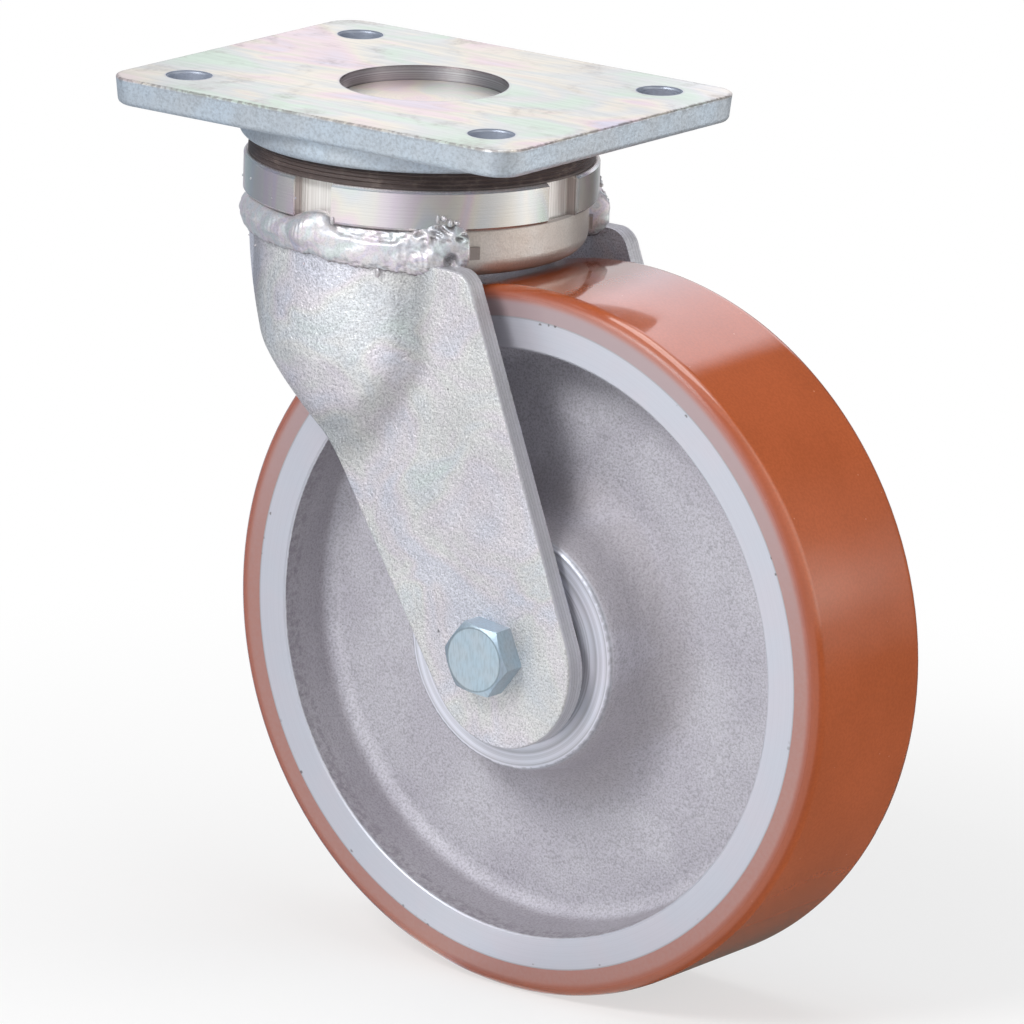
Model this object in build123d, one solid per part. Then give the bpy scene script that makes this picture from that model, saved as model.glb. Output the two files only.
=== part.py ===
from build123d import *
import math
import os

# Swivel castor: a top plate, a welded fork and a tyred wheel on ball bearings.
# The origin is the centre of the plate's mounting face, on the swivel axis.
# +Z is up, +X points to the trailing axle, and -Y is the side of the bolt's head.
# Lengths are in millimetres and angles in degrees.

# Wheel and axle
wheel_radius = 100.0
wheel_width = 50.0
axle_offset = 58.0
tyre_thickness = 8.0
tyre_shoulder = 4.0
rim_face_width = 9.0
rim_draft = 2.0
rim_recess = 18.0
rim_foot_round = 5.0
rim_edge_chamfer = 0.5
hub_width = 60.0
hub_radius = 34.0
hub_step = 2.8
hub_step_draft = 1.0
hub_flare_reach = 3.5
hub_flare_drop = 18.5
hub_flare_round = 14.0
hub_bore_shoulder = 3.5
hub_mouth_chamfer = 0.6

# Axle bolt, its nut and the tube that carries the bearings
axle_bolt_diameter = 12.0
bolt_flats = 19.0
bolt_head_height = 7.5
bolt_turn = -7.0
hexagon_face_margin = 1.0
hexagon_chamfer_angle = 30.0
bolt_tail = 3.0
bolt_tip_chamfer = 1.2
nut_height = 12.0
nut_collar_height = 3.5
nut_collar_wall = 1.0
nut_collar_root = 0.5
locking_ring_wall = 1.4
locking_ring_height = 2.6
axle_washer_diameter = 24.0
axle_washer_thickness = 2.5
axle_tube_diameter = 20.0
side_spacer_wall = 4.0
inner_spacer_wall = 3.0

# Wheel ball bearings
ball_bearing_diameter = 47.0
ball_bearing_width = 14.0
bearing_inset = 1.0
wheel_ball_diameter = 7.9
wheel_ball_count = 8
inner_race_wall = 4.2
outer_race_wall = 4.0
wheel_cage_wall = 2.0
wheel_cage_rim = 1.1
bearing_seal_thickness = 0.8
bearing_seal_inset = 0.3
bearing_edge_chamfer = 0.6

# Top plate
plate_length = 140.0
plate_width = 110.0
plate_thickness = 8.0
plate_corner_radius = 9.0
plate_draft_angle = 6.0
plate_lower_round = 1.8
plate_upper_round = 0.6
bolt_hole_diameter = 13.0
hole_spacing_x = 105.0
hole_spacing_y = 77.0
plate_boss_overhang = 1.5
plate_boss_depth = 6.6
plate_boss_round = 2.4
recess_radius = 23.5
recess_depth = 4.2

# King pin and what secures it
king_head_thickness = 5.0
king_collar_diameter = 28.0
king_collar_tail = 3.5
king_collar_chamfer = 1.0
king_pin_diameter = 20.0
king_thread_tail = 1.0
king_tip_chamfer = 1.2
king_washer_diameter = 36.0
king_washer_thickness = 2.5
king_nut_flats = 30.0
king_nut_height = 11.0
king_nut_slot_depth = 5.0
king_nut_slot_width = 4.6
king_nut_slot_count = 6
king_nut_turn = 30.0
split_pin_diameter = 3.6
split_pin_wire = 1.1
split_pin_eye_radius = 2.4
split_pin_length = 35.0
split_pin_slit = 0.5

# Thrust ball bearing of the swivel head
thrust_outer_radius = 42.5
thrust_ring_width = 12.5
thrust_height = 17.0
thrust_washer_thickness = 5.0
thrust_ball_diameter = 9.4
thrust_ball_spacing = 0.9
thrust_cage_thickness = 2.4
thrust_cage_margin = 1.4

# Taper roller bearing of the swivel head
taper_outer_radius = 23.5
taper_width = 15.0
taper_inner_width = 14.0
taper_outer_width = 12.0
taper_angle = 12.5
roller_taper_angle = 2.1
roller_diameter = 5.6
roller_length = 8.6
roller_count = 15
roller_pitch_radius = 16.9
roller_rib_low = 1.6
roller_rib_high = 0.4
roller_cage_wall = 1.2
roller_cage_rim = 1.0

# Swivel housing with its ring of direction notches, and the dust seal
seal_gap_height = 5.0
ring_wall = 7.0
ring_height = 11.2
ring_edge_chamfer = 0.8
notch_width = 13.0
notch_depth = 4.5
notch_count = 4
bowl_wall = 4.3
bowl_height = 14.0
bowl_corner_radius = 5.0
lug_width = 4.4
lug_height = 3.5
lug_reach = 1.1
lug_angle = 35.2
lug_drop = 6.6
housing_lip_depth = 2.0
housing_lip_width = 4.0
seal_inset = 1.2
seal_rib_depth = 0.6
seal_rib_count = 3
seal_foot_depth = 1.6
seal_foot_width = 1.4

# Fork legs and their welds
leg_thickness = 6.0
leg_top_step = 9.2
leg_end_radius = 24.0
leg_end_forward = 3.0
leg_end_lower = 2.0
leg_front_top_x = 45.5
leg_rear_top_x = -37.0
leg_rear_knee = (-19.5, -73.5)
leg_rear_hip = (2.0, -97.0)
leg_rear_round = 60.0
leg_front_corner_round = 6.3
leg_edge_round = 0.7
bulge_stand = 0.7
bulge_shoulder_z = -69.0
bulge_foot_z = -95.0
bulge_foot_inset = 0.8
bulge_shoulder_round = 18.0
bulge_crease_round = 9.0
bulge_crease_reach = 8.0
weld_stand = 0.1
weld_drop = 5.4
weld_half_width = 3.7
weld_half_height = 6.4
weld_rear_angle = 64.0
weld_front_angle = 48.0
weld_end_inset = 12.3
weld_end_stand = 1.0
weld_end_radius = 4.5
weld_end_half_height = 5.4
weld_end_round = 2.5

# Clearances
seat_gap = 0.02
pin_gap = 0.05
race_gap = 0.08
roller_end_gap = 0.24
seal_gap = 0.3
bearing_seal_gap = 0.15
weld_root_gap = 0.15
bolt_hole_gap = 0.25
tube_bore_gap = 0.1
hub_leg_gap = 3.0
tyre_head_gap = 0.2

# Sizes and places worked out from the dimensions above
rim_radius = wheel_radius - tyre_thickness
bolt_radius = axle_bolt_diameter / 2
axle_tube_radius = axle_tube_diameter / 2
fork_inner_width = hub_width + 2 * hub_leg_gap
leg_inner_y = fork_inner_width / 2
leg_outer_y = leg_inner_y + leg_thickness
boss_face_z = -(plate_thickness + plate_boss_depth)
housing_top_z = boss_face_z - seal_gap_height
thrust_mid_z = (boss_face_z + housing_top_z) / 2
thrust_bore_radius = thrust_outer_radius - thrust_ring_width
thrust_pitch_radius = (thrust_bore_radius + thrust_outer_radius) / 2
thrust_ball_pitch = thrust_ball_diameter + thrust_ball_spacing
thrust_ball_count = int(2 * math.pi * thrust_pitch_radius / thrust_ball_pitch)
ring_radius = thrust_outer_radius + ring_wall
bowl_radius = thrust_outer_radius + bowl_wall
seal_radius = ring_radius - seal_inset
plate_boss_radius = ring_radius + plate_boss_overhang
bulge_radius = bowl_radius + bulge_stand
weld_center_radius = bowl_radius + weld_stand
weld_end = (bowl_radius - weld_end_inset, -(leg_inner_y + weld_end_stand))
king_collar_z = -recess_depth - king_head_thickness
king_pin_radius = king_pin_diameter / 2
taper_top_z = housing_top_z - housing_lip_depth
roller_mid_z = taper_top_z - taper_width / 2
taper_bottom_z = taper_top_z - taper_width
king_washer_bottom_z = taper_bottom_z - king_washer_thickness
king_nut_bottom_z = king_washer_bottom_z - king_nut_height
split_pin_z = king_nut_bottom_z + king_nut_slot_depth / 2
ring_bottom_z = housing_top_z - ring_height
bowl_bottom_z = ring_bottom_z - bowl_height
lug_z = ring_bottom_z - lug_drop
weld_center_z = ring_bottom_z - weld_drop
leg_top_drop = leg_top_step - ring_bottom_z
total_height = 2 * wheel_radius + tyre_head_gap - bowl_bottom_z
axle_z = wheel_radius - total_height
bearing_outer_radius = ball_bearing_diameter / 2
bearing_face = hub_width / 2 - bearing_inset
bearing_middle = bearing_face - ball_bearing_width / 2
bearing_inner_face = bearing_face - ball_bearing_width
bearing_pitch_radius = (axle_tube_radius + bearing_outer_radius) / 2
inner_race_radius = axle_tube_radius + inner_race_wall
outer_race_radius = bearing_outer_radius - outer_race_wall
nut_seat = leg_outer_y + axle_washer_thickness

# Reaches of cutting shapes beyond what they cut
over = 1.0
far = 400.0


def turned(*points):
    """Solid turned about Z from a closed outline of (radius, height) points."""
    return revolve(Plane.XZ * make_face(Polyline(*points, close=True)), Axis.Z)


def ring(inner, outer, low, high, edge=0):
    """Ring about Z, with its outer edges chamfered."""
    if edge == 0:
        return turned((inner, low), (outer, low), (outer, high), (inner, high))
    bottom = [(inner, low), (outer - edge, low), (outer, low + edge)]
    top = [(outer, high - edge), (outer - edge, high), (inner, high)]
    return turned(*bottom, *top)


def disc(radius, low, high):
    """Disc about Z."""
    return Pos(Z=(low + high) / 2) * Cylinder(radius, high - low)


def around(shape, count):
    """Copies of a shape at even steps about Z."""
    return [Rot(Z=360 * step / count) * shape for step in range(count)]


def on_axle(shape):
    """Lay a shape made about Z on the axle, its height pointing to the bolt's head."""
    return Pos(axle_offset, 0, axle_z) * Rot(X=90) * shape


def opposite(shape):
    """The same piece on the other side of the castor."""
    return mirror(shape, about=Plane.XZ)


def near(vertex, point):
    """True for a sketch corner that lies at an (x, z) point."""
    return math.dist((vertex.X, vertex.Z), point) < seat_gap


def hexagon(flats, low, high, turn):
    """Hexagon bar about Z with its end corners turned off; turn is the angle of one corner."""
    outline = RegularPolygon(flats / 2, 6, major_radius=False, rotation=turn)
    bar = Pos(Z=low) * extrude(outline, high - low)
    face = (flats - hexagon_face_margin) / 2
    corner = flats / math.sqrt(3) + over
    drop = (corner - face) * math.tan(math.radians(hexagon_chamfer_angle))
    middle = [(corner, low + drop), (corner, high - drop)]
    return bar & turned((0, low), (face, low), *middle, (face, high), (0, high))


def thrust_seat(low, high):
    """Ring-shaped seat for a washer of the thrust bearing."""
    return ring(thrust_bore_radius - seat_gap, thrust_outer_radius + seat_gap, low, high)


def top_plate():
    """Forged plate with four bolt holes and a boss below for the pin and the upper washer."""
    outline = RectangleRounded(plate_length, plate_width, plate_corner_radius)
    slab = extrude(outline, -plate_thickness, taper=plate_draft_angle)
    slab = fillet(slab.faces().sort_by(Axis.Z)[0].edges(), plate_lower_round)
    slab = fillet(slab.faces().sort_by(Axis.Z)[-1].edges(), plate_upper_round)
    boss = disc(plate_boss_radius, boss_face_z, -plate_thickness / 2)
    boss = fillet(boss.faces().sort_by(Axis.Z)[0].edges(), plate_boss_round)
    plate = slab + boss
    hole = disc(bolt_hole_diameter / 2, -plate_thickness - over, over)
    for place in GridLocations(hole_spacing_x, hole_spacing_y, 2, 2):
        plate -= place * hole
    plate -= disc(recess_radius, king_collar_z, over)
    plate -= disc(king_collar_diameter / 2, boss_face_z - over, 0)
    return plate - thrust_seat(boss_face_z - over, thrust_mid_z + thrust_height / 2)


def king_pin():
    """Pin with a disc head in the plate's recess, a collar in the plate and a cross hole."""
    head = recess_radius - seat_gap
    collar = king_collar_diameter / 2 - seat_gap
    collar_bottom = boss_face_z - king_collar_tail
    bottom = king_nut_bottom_z - king_thread_tail
    pin = turned(
        (0, -recess_depth),
        (head, -recess_depth),
        (head, king_collar_z),
        (collar, king_collar_z),
        (collar, collar_bottom + king_collar_chamfer),
        (collar - king_collar_chamfer, collar_bottom),
        (king_pin_radius, collar_bottom),
        (king_pin_radius, bottom + king_tip_chamfer),
        (king_pin_radius - king_tip_chamfer, bottom),
        (0, bottom),
    )
    cross_hole = Rot(Y=90) * Cylinder(split_pin_diameter / 2 + pin_gap, king_pin_diameter * 2)
    return pin - Pos(Z=split_pin_z) * cross_hole


def king_pin_washer():
    """Hard washer between the lower bearing and the nut."""
    return ring(king_pin_radius + pin_gap, king_washer_diameter / 2, king_washer_bottom_z, taper_bottom_z)


def king_pin_nut():
    """Castle nut with a slot for the split pin through each pair of flats."""
    nut = hexagon(king_nut_flats, king_nut_bottom_z, king_washer_bottom_z, king_nut_turn)
    nut -= disc(king_pin_radius + seat_gap, king_nut_bottom_z - over, 0)
    slot = Pos(king_nut_flats, 0, king_nut_bottom_z)
    slot = slot * Box(2 * king_nut_flats, king_nut_slot_width, 2 * king_nut_slot_depth)
    return nut - around(slot, king_nut_slot_count)


def split_pin():
    """Split pin through the nut's slots, with an eye at one end and a slit between its legs."""
    shank = Rot(Y=90) * Cylinder(split_pin_diameter / 2, split_pin_length)
    slit = Pos(X=split_pin_length / 2) * Box(split_pin_length, split_pin_diameter, split_pin_slit)
    eye = Rot(X=90) * Torus(split_pin_eye_radius, split_pin_wire)
    eye = Pos(X=-(split_pin_length / 2 + split_pin_eye_radius)) * eye
    return Pos(Z=split_pin_z) * (shank - slit + eye)


def thrust_washer(sign):
    """Grooved washer of the thrust bearing: +1 is seated in the plate, -1 in the housing."""
    outside = sign * thrust_height / 2
    inside = sign * (thrust_height / 2 - thrust_washer_thickness)
    low, high = sorted((thrust_mid_z + outside, thrust_mid_z + inside))
    washer = ring(thrust_bore_radius, thrust_outer_radius, low, high)
    return washer - Pos(Z=thrust_mid_z) * Torus(thrust_pitch_radius, thrust_ball_diameter / 2 + race_gap)


def thrust_cage():
    """Flat ring that spaces the thrust balls."""
    low = thrust_mid_z - thrust_cage_thickness / 2
    inner = thrust_bore_radius + thrust_cage_margin
    outer = thrust_outer_radius - thrust_cage_margin
    pocket = Pos(thrust_pitch_radius, 0, thrust_mid_z) * Sphere(thrust_ball_diameter / 2 + race_gap)
    return ring(inner, outer, low, low + thrust_cage_thickness) - around(pocket, thrust_ball_count)


def thrust_balls():
    """Balls that carry the load of the swivel head."""
    ball = Pos(thrust_pitch_radius, 0, thrust_mid_z) * Sphere(thrust_ball_diameter / 2)
    return Compound(children=around(ball, thrust_ball_count))


def roller_side_point(side, along, gap):
    """(radius, height) beside a roller: side -1 faces the pin, +1 the housing."""
    lean = math.radians(taper_angle)
    reach = side * (roller_diameter / 2 - along * math.tan(math.radians(roller_taper_angle)) + gap)
    radius = roller_pitch_radius - along * math.sin(lean) + reach * math.cos(lean)
    return radius, roller_mid_z + along * math.cos(lean) + reach * math.sin(lean)


def roller(gap, end_gap):
    """One tapered roller at +X, widened by a gap when it cuts a pocket."""
    half_length = roller_length / 2
    spread = half_length * math.tan(math.radians(roller_taper_angle))
    middle = roller_diameter / 2 + gap
    body = Cone(middle + spread, middle - spread, roller_length + 2 * end_gap)
    return Pos(roller_pitch_radius, 0, roller_mid_z) * Rot(Y=-taper_angle) * body


def taper_rollers():
    """Tapered rollers that hold the fork up on the king pin."""
    return Compound(children=around(roller(0, 0), roller_count))


def taper_inner_ring():
    """Inner ring of the taper bearing, with a rib at each end of its rollers."""
    bore = king_pin_radius + seat_gap
    top = taper_bottom_z + taper_inner_width
    low_radius, low = roller_side_point(-1, -roller_length / 2 - roller_end_gap, race_gap)
    high_radius, high = roller_side_point(-1, roller_length / 2 + roller_end_gap, race_gap)
    return turned(
        (bore, taper_bottom_z),
        (low_radius + roller_rib_low, taper_bottom_z),
        (low_radius + roller_rib_low, low),
        (low_radius, low),
        (high_radius, high),
        (high_radius + roller_rib_high, high),
        (high_radius + roller_rib_high, top),
        (bore, top),
    )


def taper_outer_ring():
    """Outer ring of the taper bearing, pressed into the housing."""
    bottom = taper_top_z - taper_outer_width
    low_radius, low = roller_side_point(1, -roller_length / 2, race_gap)
    high_radius, high = roller_side_point(1, roller_length / 2, race_gap)
    slope = (low_radius - high_radius) / (high - low)
    return turned(
        (taper_outer_radius - seat_gap, bottom),
        (taper_outer_radius - seat_gap, taper_top_z),
        (high_radius - (taper_top_z - high) * slope, taper_top_z),
        (low_radius + (low - bottom) * slope, bottom),
    )


def taper_cage():
    """Cage of the taper bearing, a cone-shaped band with a window for each roller."""
    reach = roller_length / 2 + roller_end_gap + roller_cage_rim
    lean = math.radians(taper_angle)
    wall = roller_cage_wall / 2
    corners = []
    for along, side in ((-reach, -wall), (-reach, wall), (reach, wall), (reach, -wall)):
        radius = roller_pitch_radius - along * math.sin(lean) + side * math.cos(lean)
        corners.append((radius, roller_mid_z + along * math.cos(lean) + side * math.sin(lean)))
    return turned(*corners) - around(roller(race_gap, race_gap), roller_count)


def leg_region(gap):
    """Space on the bolt head's side that a leg may fill, widened by a gap."""
    front = Box(far, far, far, align=(Align.MIN, Align.MAX, Align.CENTER))
    rear = Box(far, far, far, align=(Align.MAX, Align.MAX, Align.CENTER))
    return rear + Pos(-over, gap - leg_inner_y, 0) * front


def leg_seat():
    """Rebate round the housing's foot that takes the top of a leg."""
    outline = extrude(offset(leg_outline(), weld_root_gap), far / 2, both=True)
    inner = bulge_radius - leg_thickness - weld_root_gap
    wall = ring(inner, ring_radius, bowl_bottom_z - over, ring_bottom_z)
    return wall & outline & leg_region(weld_root_gap)


def swivel_housing():
    """Forged housing that turns under the plate, with notches round its ring for a direction lock."""
    middle_z = (housing_top_z + ring_bottom_z) / 2
    rim = Pos(Z=middle_z) * Cylinder(ring_radius, ring_height)
    rim = chamfer(rim.edges().filter_by(GeomType.CIRCLE), ring_edge_chamfer)
    notch = Pos(ring_radius, 0, middle_z) * Box(2 * notch_depth, notch_width, ring_height)
    bowl = disc(bowl_radius, bowl_bottom_z, housing_top_z)
    bowl = fillet(bowl.faces().sort_by(Axis.Z)[0].edges(), bowl_corner_radius)
    body = bowl + rim - around(notch, notch_count)
    lug = Pos(bowl_radius, 0, lug_z) * Box(2 * lug_reach, lug_width, lug_height)
    body += [Rot(Z=-lug_angle) * lug, Rot(Z=lug_angle) * lug]
    body -= thrust_seat(thrust_mid_z - thrust_height / 2, 0)
    foot_seat = thrust_outer_radius + seal_gap + seal_foot_width + seat_gap
    body -= ring(thrust_outer_radius, foot_seat, housing_top_z - seal_foot_depth - seat_gap, 0)
    body -= disc(taper_outer_radius - housing_lip_width, bowl_bottom_z - over, 0)
    body -= disc(taper_outer_radius, bowl_bottom_z - over, taper_top_z)
    seat = leg_seat()
    return body - seat - opposite(seat)


def dust_seal():
    """Ribbed rubber ring in the gap below the plate, held by a foot in the housing."""
    top = boss_face_z - seal_gap
    inner = thrust_outer_radius + seal_gap
    foot = inner + seal_foot_width
    foot_low = housing_top_z - seal_foot_depth
    outer = [(seal_radius, housing_top_z)]
    pitch = (top - housing_top_z) / (seal_rib_count + 1)
    for step in range(seal_rib_count):
        level = housing_top_z + pitch * (step + 1)
        outer += [
            (seal_radius, level - seal_rib_depth),
            (seal_radius - seal_rib_depth, level),
            (seal_radius, level + seal_rib_depth),
        ]
    outer.append((seal_radius - seal_rib_depth, top))
    return turned((inner, foot_low), (foot, foot_low), (foot, housing_top_z), *outer, (inner, top))


def tangent_point(point, center, radius, side):
    """Point where a line from a point touches a circle; side picks one of the two."""
    heading = math.atan2(point[1] - center[1], point[0] - center[0])
    turn = heading + side * math.acos(radius / math.dist(point, center))
    return center[0] + radius * math.cos(turn), center[1] + radius * math.sin(turn)


def leg_outline():
    """Side view of a leg, from the rounded end at the axle up to the housing."""
    center = (axle_offset + leg_end_forward, axle_z - leg_end_lower)
    front_top = (leg_front_top_x, -leg_top_drop)
    rear_top = (leg_rear_top_x, -leg_top_drop)
    front_end = tangent_point(front_top, center, leg_end_radius, -1)
    rear_end = tangent_point(leg_rear_hip, center, leg_end_radius, 1)
    end = ThreePointArc(front_end, (center[0], center[1] - leg_end_radius), rear_end)
    sides = Polyline(rear_end, leg_rear_hip, leg_rear_knee, rear_top, front_top, front_end)
    face = Plane.XZ * make_face([end, sides])
    rear_corners = [c for c in face.vertices() if near(c, leg_rear_hip) or near(c, leg_rear_knee)]
    face = fillet(rear_corners, leg_rear_round)
    return fillet([c for c in face.vertices() if near(c, front_top)], leg_front_corner_round)


def bulge(inset):
    """Turned form of the leg's round upper part, set in by a wall."""
    foot_radius = leg_outer_y - bulge_foot_inset
    half_angle = math.atan2(bulge_radius - foot_radius, bulge_shoulder_z - bulge_foot_z)
    shoulder = (bulge_radius - inset, bulge_shoulder_z + inset * math.tan(half_angle / 2))
    foot = (foot_radius - inset / math.cos(half_angle), bulge_foot_z)
    top = [(0, -leg_top_drop), (bulge_radius - inset, -leg_top_drop)]
    face = Plane.XZ * make_face(Polyline(*top, shoulder, foot, (0, foot[1]), close=True))
    face = fillet([c for c in face.vertices() if near(c, shoulder)], bulge_shoulder_round - inset)
    return revolve(face, Axis.Z)


def in_outer_face(edge):
    """True for an edge that lies in the flat outer face of the leg on the bolt head's side."""
    box = edge.bounding_box()
    return max(abs(box.min.Y + leg_outer_y), abs(box.max.Y + leg_outer_y)) < seat_gap


def fork_leg():
    """Pressed leg on the bolt head's side: flat at the axle, round where it meets the housing."""
    corner = (Align.MIN, Align.MAX, Align.MAX)
    slab = Pos(leg_rear_knee[0], -leg_inner_y, -leg_top_drop) * Box(far, leg_thickness, far, align=corner)
    leg = slab + (bulge(0) & leg_region(0))
    crease = [
        edge
        for edge in leg.edges().filter_by(in_outer_face)
        if math.hypot((edge @ 0.5).X, (edge @ 0.5).Y) < bulge_radius + seat_gap
        and (edge @ 0.5).Z < -leg_top_drop - over
        and (edge @ 0.5).X > leg_rear_knee[0] + over
        and edge.center().Z > bulge_foot_z
    ]
    # A low step between the round part and the flat one takes only a small round
    crease_limit = (bulge_radius - leg_outer_y) ** 2 / bulge_crease_reach
    leg = fillet(crease, min(bulge_crease_round, crease_limit))
    leg -= bulge(leg_thickness)
    leg &= extrude(leg_outline(), far / 2, both=True)
    # The round started on the front edge runs on round the whole outline
    front_edge = leg.edges().filter_by(in_outer_face).sort_by(SortBy.LENGTH)[-1]
    leg = fillet([front_edge], leg_edge_round)
    return leg - on_axle(Cylinder(bolt_radius + bolt_hole_gap, far))


def weld(housing, leg):
    """Bead that joins the top of a leg to the housing."""
    section = Plane((weld_center_radius, 0, weld_center_z), x_dir=(1, 0, 0), z_dir=(0, -1, 0))
    section = section * Ellipse(weld_half_width, weld_half_height)
    bead = revolve(section, Axis.Z, revolution_arc=weld_rear_angle + weld_front_angle)
    bead = Rot(Z=-90 - weld_rear_angle) * bead
    end = Cylinder(weld_end_radius, 2 * weld_end_half_height)
    end = Pos(*weld_end, weld_center_z) * fillet(end.edges().filter_by(GeomType.CIRCLE), weld_end_round)
    bead = bead + end - housing - leg
    return bead.solids().sort_by(SortBy.VOLUME)[-1]


def corners_at(section, point):
    """Corners of the wheel's section at a (radius, height) point and at its mirror image."""
    mirrored = (point[0], -point[1])
    return [c for c in section.vertices() if near(c, point) or near(c, mirrored)]


def wheel_centre():
    """Cast wheel centre: a rim, a dished web and a hub bored for two bearings."""
    face = wheel_width / 2
    hub_face = hub_width / 2
    hub_edge = (hub_radius, hub_face)
    step = (hub_radius + hub_step_draft, hub_face - hub_step)
    flare = (step[0] + hub_flare_reach, step[1] - hub_flare_drop)
    rim_inner = rim_radius - rim_face_width
    foot = (rim_inner - rim_draft, face - rim_recess)
    rim_edge = (rim_inner, face)
    upper = [hub_edge, step, flare, foot, rim_edge, (rim_radius, face)]
    lower = [(radius, -height) for radius, height in reversed(upper)]
    shoulder = bearing_outer_radius - hub_bore_shoulder
    bore = [
        (bearing_outer_radius, -hub_face),
        (bearing_outer_radius, -bearing_inner_face),
        (shoulder, -bearing_inner_face),
        (shoulder, bearing_inner_face),
        (bearing_outer_radius, bearing_inner_face),
        (bearing_outer_radius, hub_face),
    ]
    section = Plane.XZ * make_face(Polyline(*upper, *lower, *bore, close=True))
    section = fillet(corners_at(section, flare), hub_flare_round)
    section = fillet(corners_at(section, foot), rim_foot_round)
    section = fillet(corners_at(section, step), hub_step / 2)
    section = chamfer(corners_at(section, rim_edge) + corners_at(section, hub_edge), rim_edge_chamfer)
    section = chamfer(corners_at(section, (bearing_outer_radius, hub_face)), hub_mouth_chamfer)
    return on_axle(revolve(section, Axis.Z))


def tyre():
    """Cast tyre bonded round the rim, with rounded shoulders."""
    body = ring(rim_radius, wheel_radius, -wheel_width / 2, wheel_width / 2)
    shoulders = [e for e in body.edges().filter_by(GeomType.CIRCLE) if e.radius > wheel_radius - seat_gap]
    return on_axle(fillet(shoulders, tyre_shoulder))


def wheel_race_groove():
    """Torus that the balls of the head side's wheel bearing need in both rings."""
    return Pos(Z=bearing_middle) * Torus(bearing_pitch_radius, wheel_ball_diameter / 2 + race_gap)


def wheel_bearing_inner():
    """Inner ring of a wheel bearing, on the axle tube."""
    body = ring(axle_tube_radius + seat_gap, inner_race_radius, bearing_inner_face, bearing_face)
    return on_axle(body - wheel_race_groove())


def wheel_bearing_outer():
    """Outer ring of a wheel bearing, pressed into the hub."""
    outer = bearing_outer_radius - seat_gap
    body = ring(outer_race_radius, outer, bearing_inner_face, bearing_face, bearing_edge_chamfer)
    return on_axle(body - wheel_race_groove())


def wheel_bearing_balls():
    """Balls of a wheel bearing."""
    ball = Pos(bearing_pitch_radius, 0, bearing_middle) * Sphere(wheel_ball_diameter / 2)
    return on_axle(Compound(children=around(ball, wheel_ball_count)))


def wheel_bearing_cage():
    """Cage of a wheel bearing, a band with a round pocket for each ball."""
    half = wheel_ball_diameter / 2 + race_gap + wheel_cage_rim
    inner = bearing_pitch_radius - wheel_cage_wall / 2
    band = ring(inner, inner + wheel_cage_wall, bearing_middle - half, bearing_middle + half)
    pocket = Rot(Y=90) * Sphere(wheel_ball_diameter / 2 + race_gap)
    pocket = Pos(bearing_pitch_radius, 0, bearing_middle) * pocket
    return on_axle(band - around(pocket, wheel_ball_count))


def wheel_bearing_seals():
    """The two rubber shields of a wheel bearing, one at each face."""
    inner = inner_race_radius + bearing_seal_gap
    outer = outer_race_radius - seat_gap
    offset = ball_bearing_width / 2 - bearing_seal_inset - bearing_seal_thickness / 2
    half = bearing_seal_thickness / 2
    seals = []
    for middle in (bearing_middle - offset, bearing_middle + offset):
        seals.append(ring(inner, outer, middle - half, middle + half))
    return on_axle(Compound(children=seals))


def side_spacer():
    """Collar between a wheel bearing and the leg beside it."""
    inner = axle_tube_radius + seat_gap
    return on_axle(ring(inner, axle_tube_radius + side_spacer_wall, bearing_face, leg_inner_y))


def inner_spacer():
    """Tube between the inner rings of the two wheel bearings."""
    inner = axle_tube_radius + seat_gap
    outer = axle_tube_radius + inner_spacer_wall
    return on_axle(ring(inner, outer, -bearing_inner_face, bearing_inner_face))


def axle_tube():
    """Tube clamped between the legs, on which the bearings sit."""
    return on_axle(ring(bolt_radius + tube_bore_gap, axle_tube_radius, -leg_inner_y, leg_inner_y))


def axle_bolt():
    """Hexagon bolt through both legs and the axle tube."""
    tip = -(nut_seat + nut_height + bolt_tail)
    shank = turned(
        (0, leg_outer_y),
        (bolt_radius, leg_outer_y),
        (bolt_radius, tip + bolt_tip_chamfer),
        (bolt_radius - bolt_tip_chamfer, tip),
        (0, tip),
    )
    head = hexagon(bolt_flats, leg_outer_y - over, leg_outer_y + bolt_head_height, bolt_turn)
    head -= ring(bolt_radius, bolt_flats, leg_inner_y, leg_outer_y)
    return on_axle(shank + head)


def axle_washer():
    """Flat washer under the nut."""
    washer = ring(bolt_radius + bolt_hole_gap, axle_washer_diameter / 2, leg_outer_y, nut_seat)
    return opposite(on_axle(washer))


def axle_nut():
    """Hexagon nut with a round collar that holds the locking ring."""
    shoulder = nut_seat + nut_height - nut_collar_height
    top = nut_seat + nut_height
    ring_radius_out = bolt_radius + seat_gap + locking_ring_wall
    body = hexagon(bolt_flats, nut_seat, shoulder + nut_collar_root, bolt_turn)
    body += disc(ring_radius_out + nut_collar_wall, shoulder, top)
    body -= disc(bolt_radius + seat_gap, nut_seat - over, top + over)
    body -= disc(ring_radius_out, top - locking_ring_height, top + over)
    return opposite(on_axle(body))


def nut_locking_ring():
    """Plastic ring in the nut's collar."""
    top = nut_seat + nut_height
    inner = bolt_radius + seat_gap
    outer = bolt_radius + locking_ring_wall
    return opposite(on_axle(ring(inner, outer, top - locking_ring_height, top)))


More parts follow.
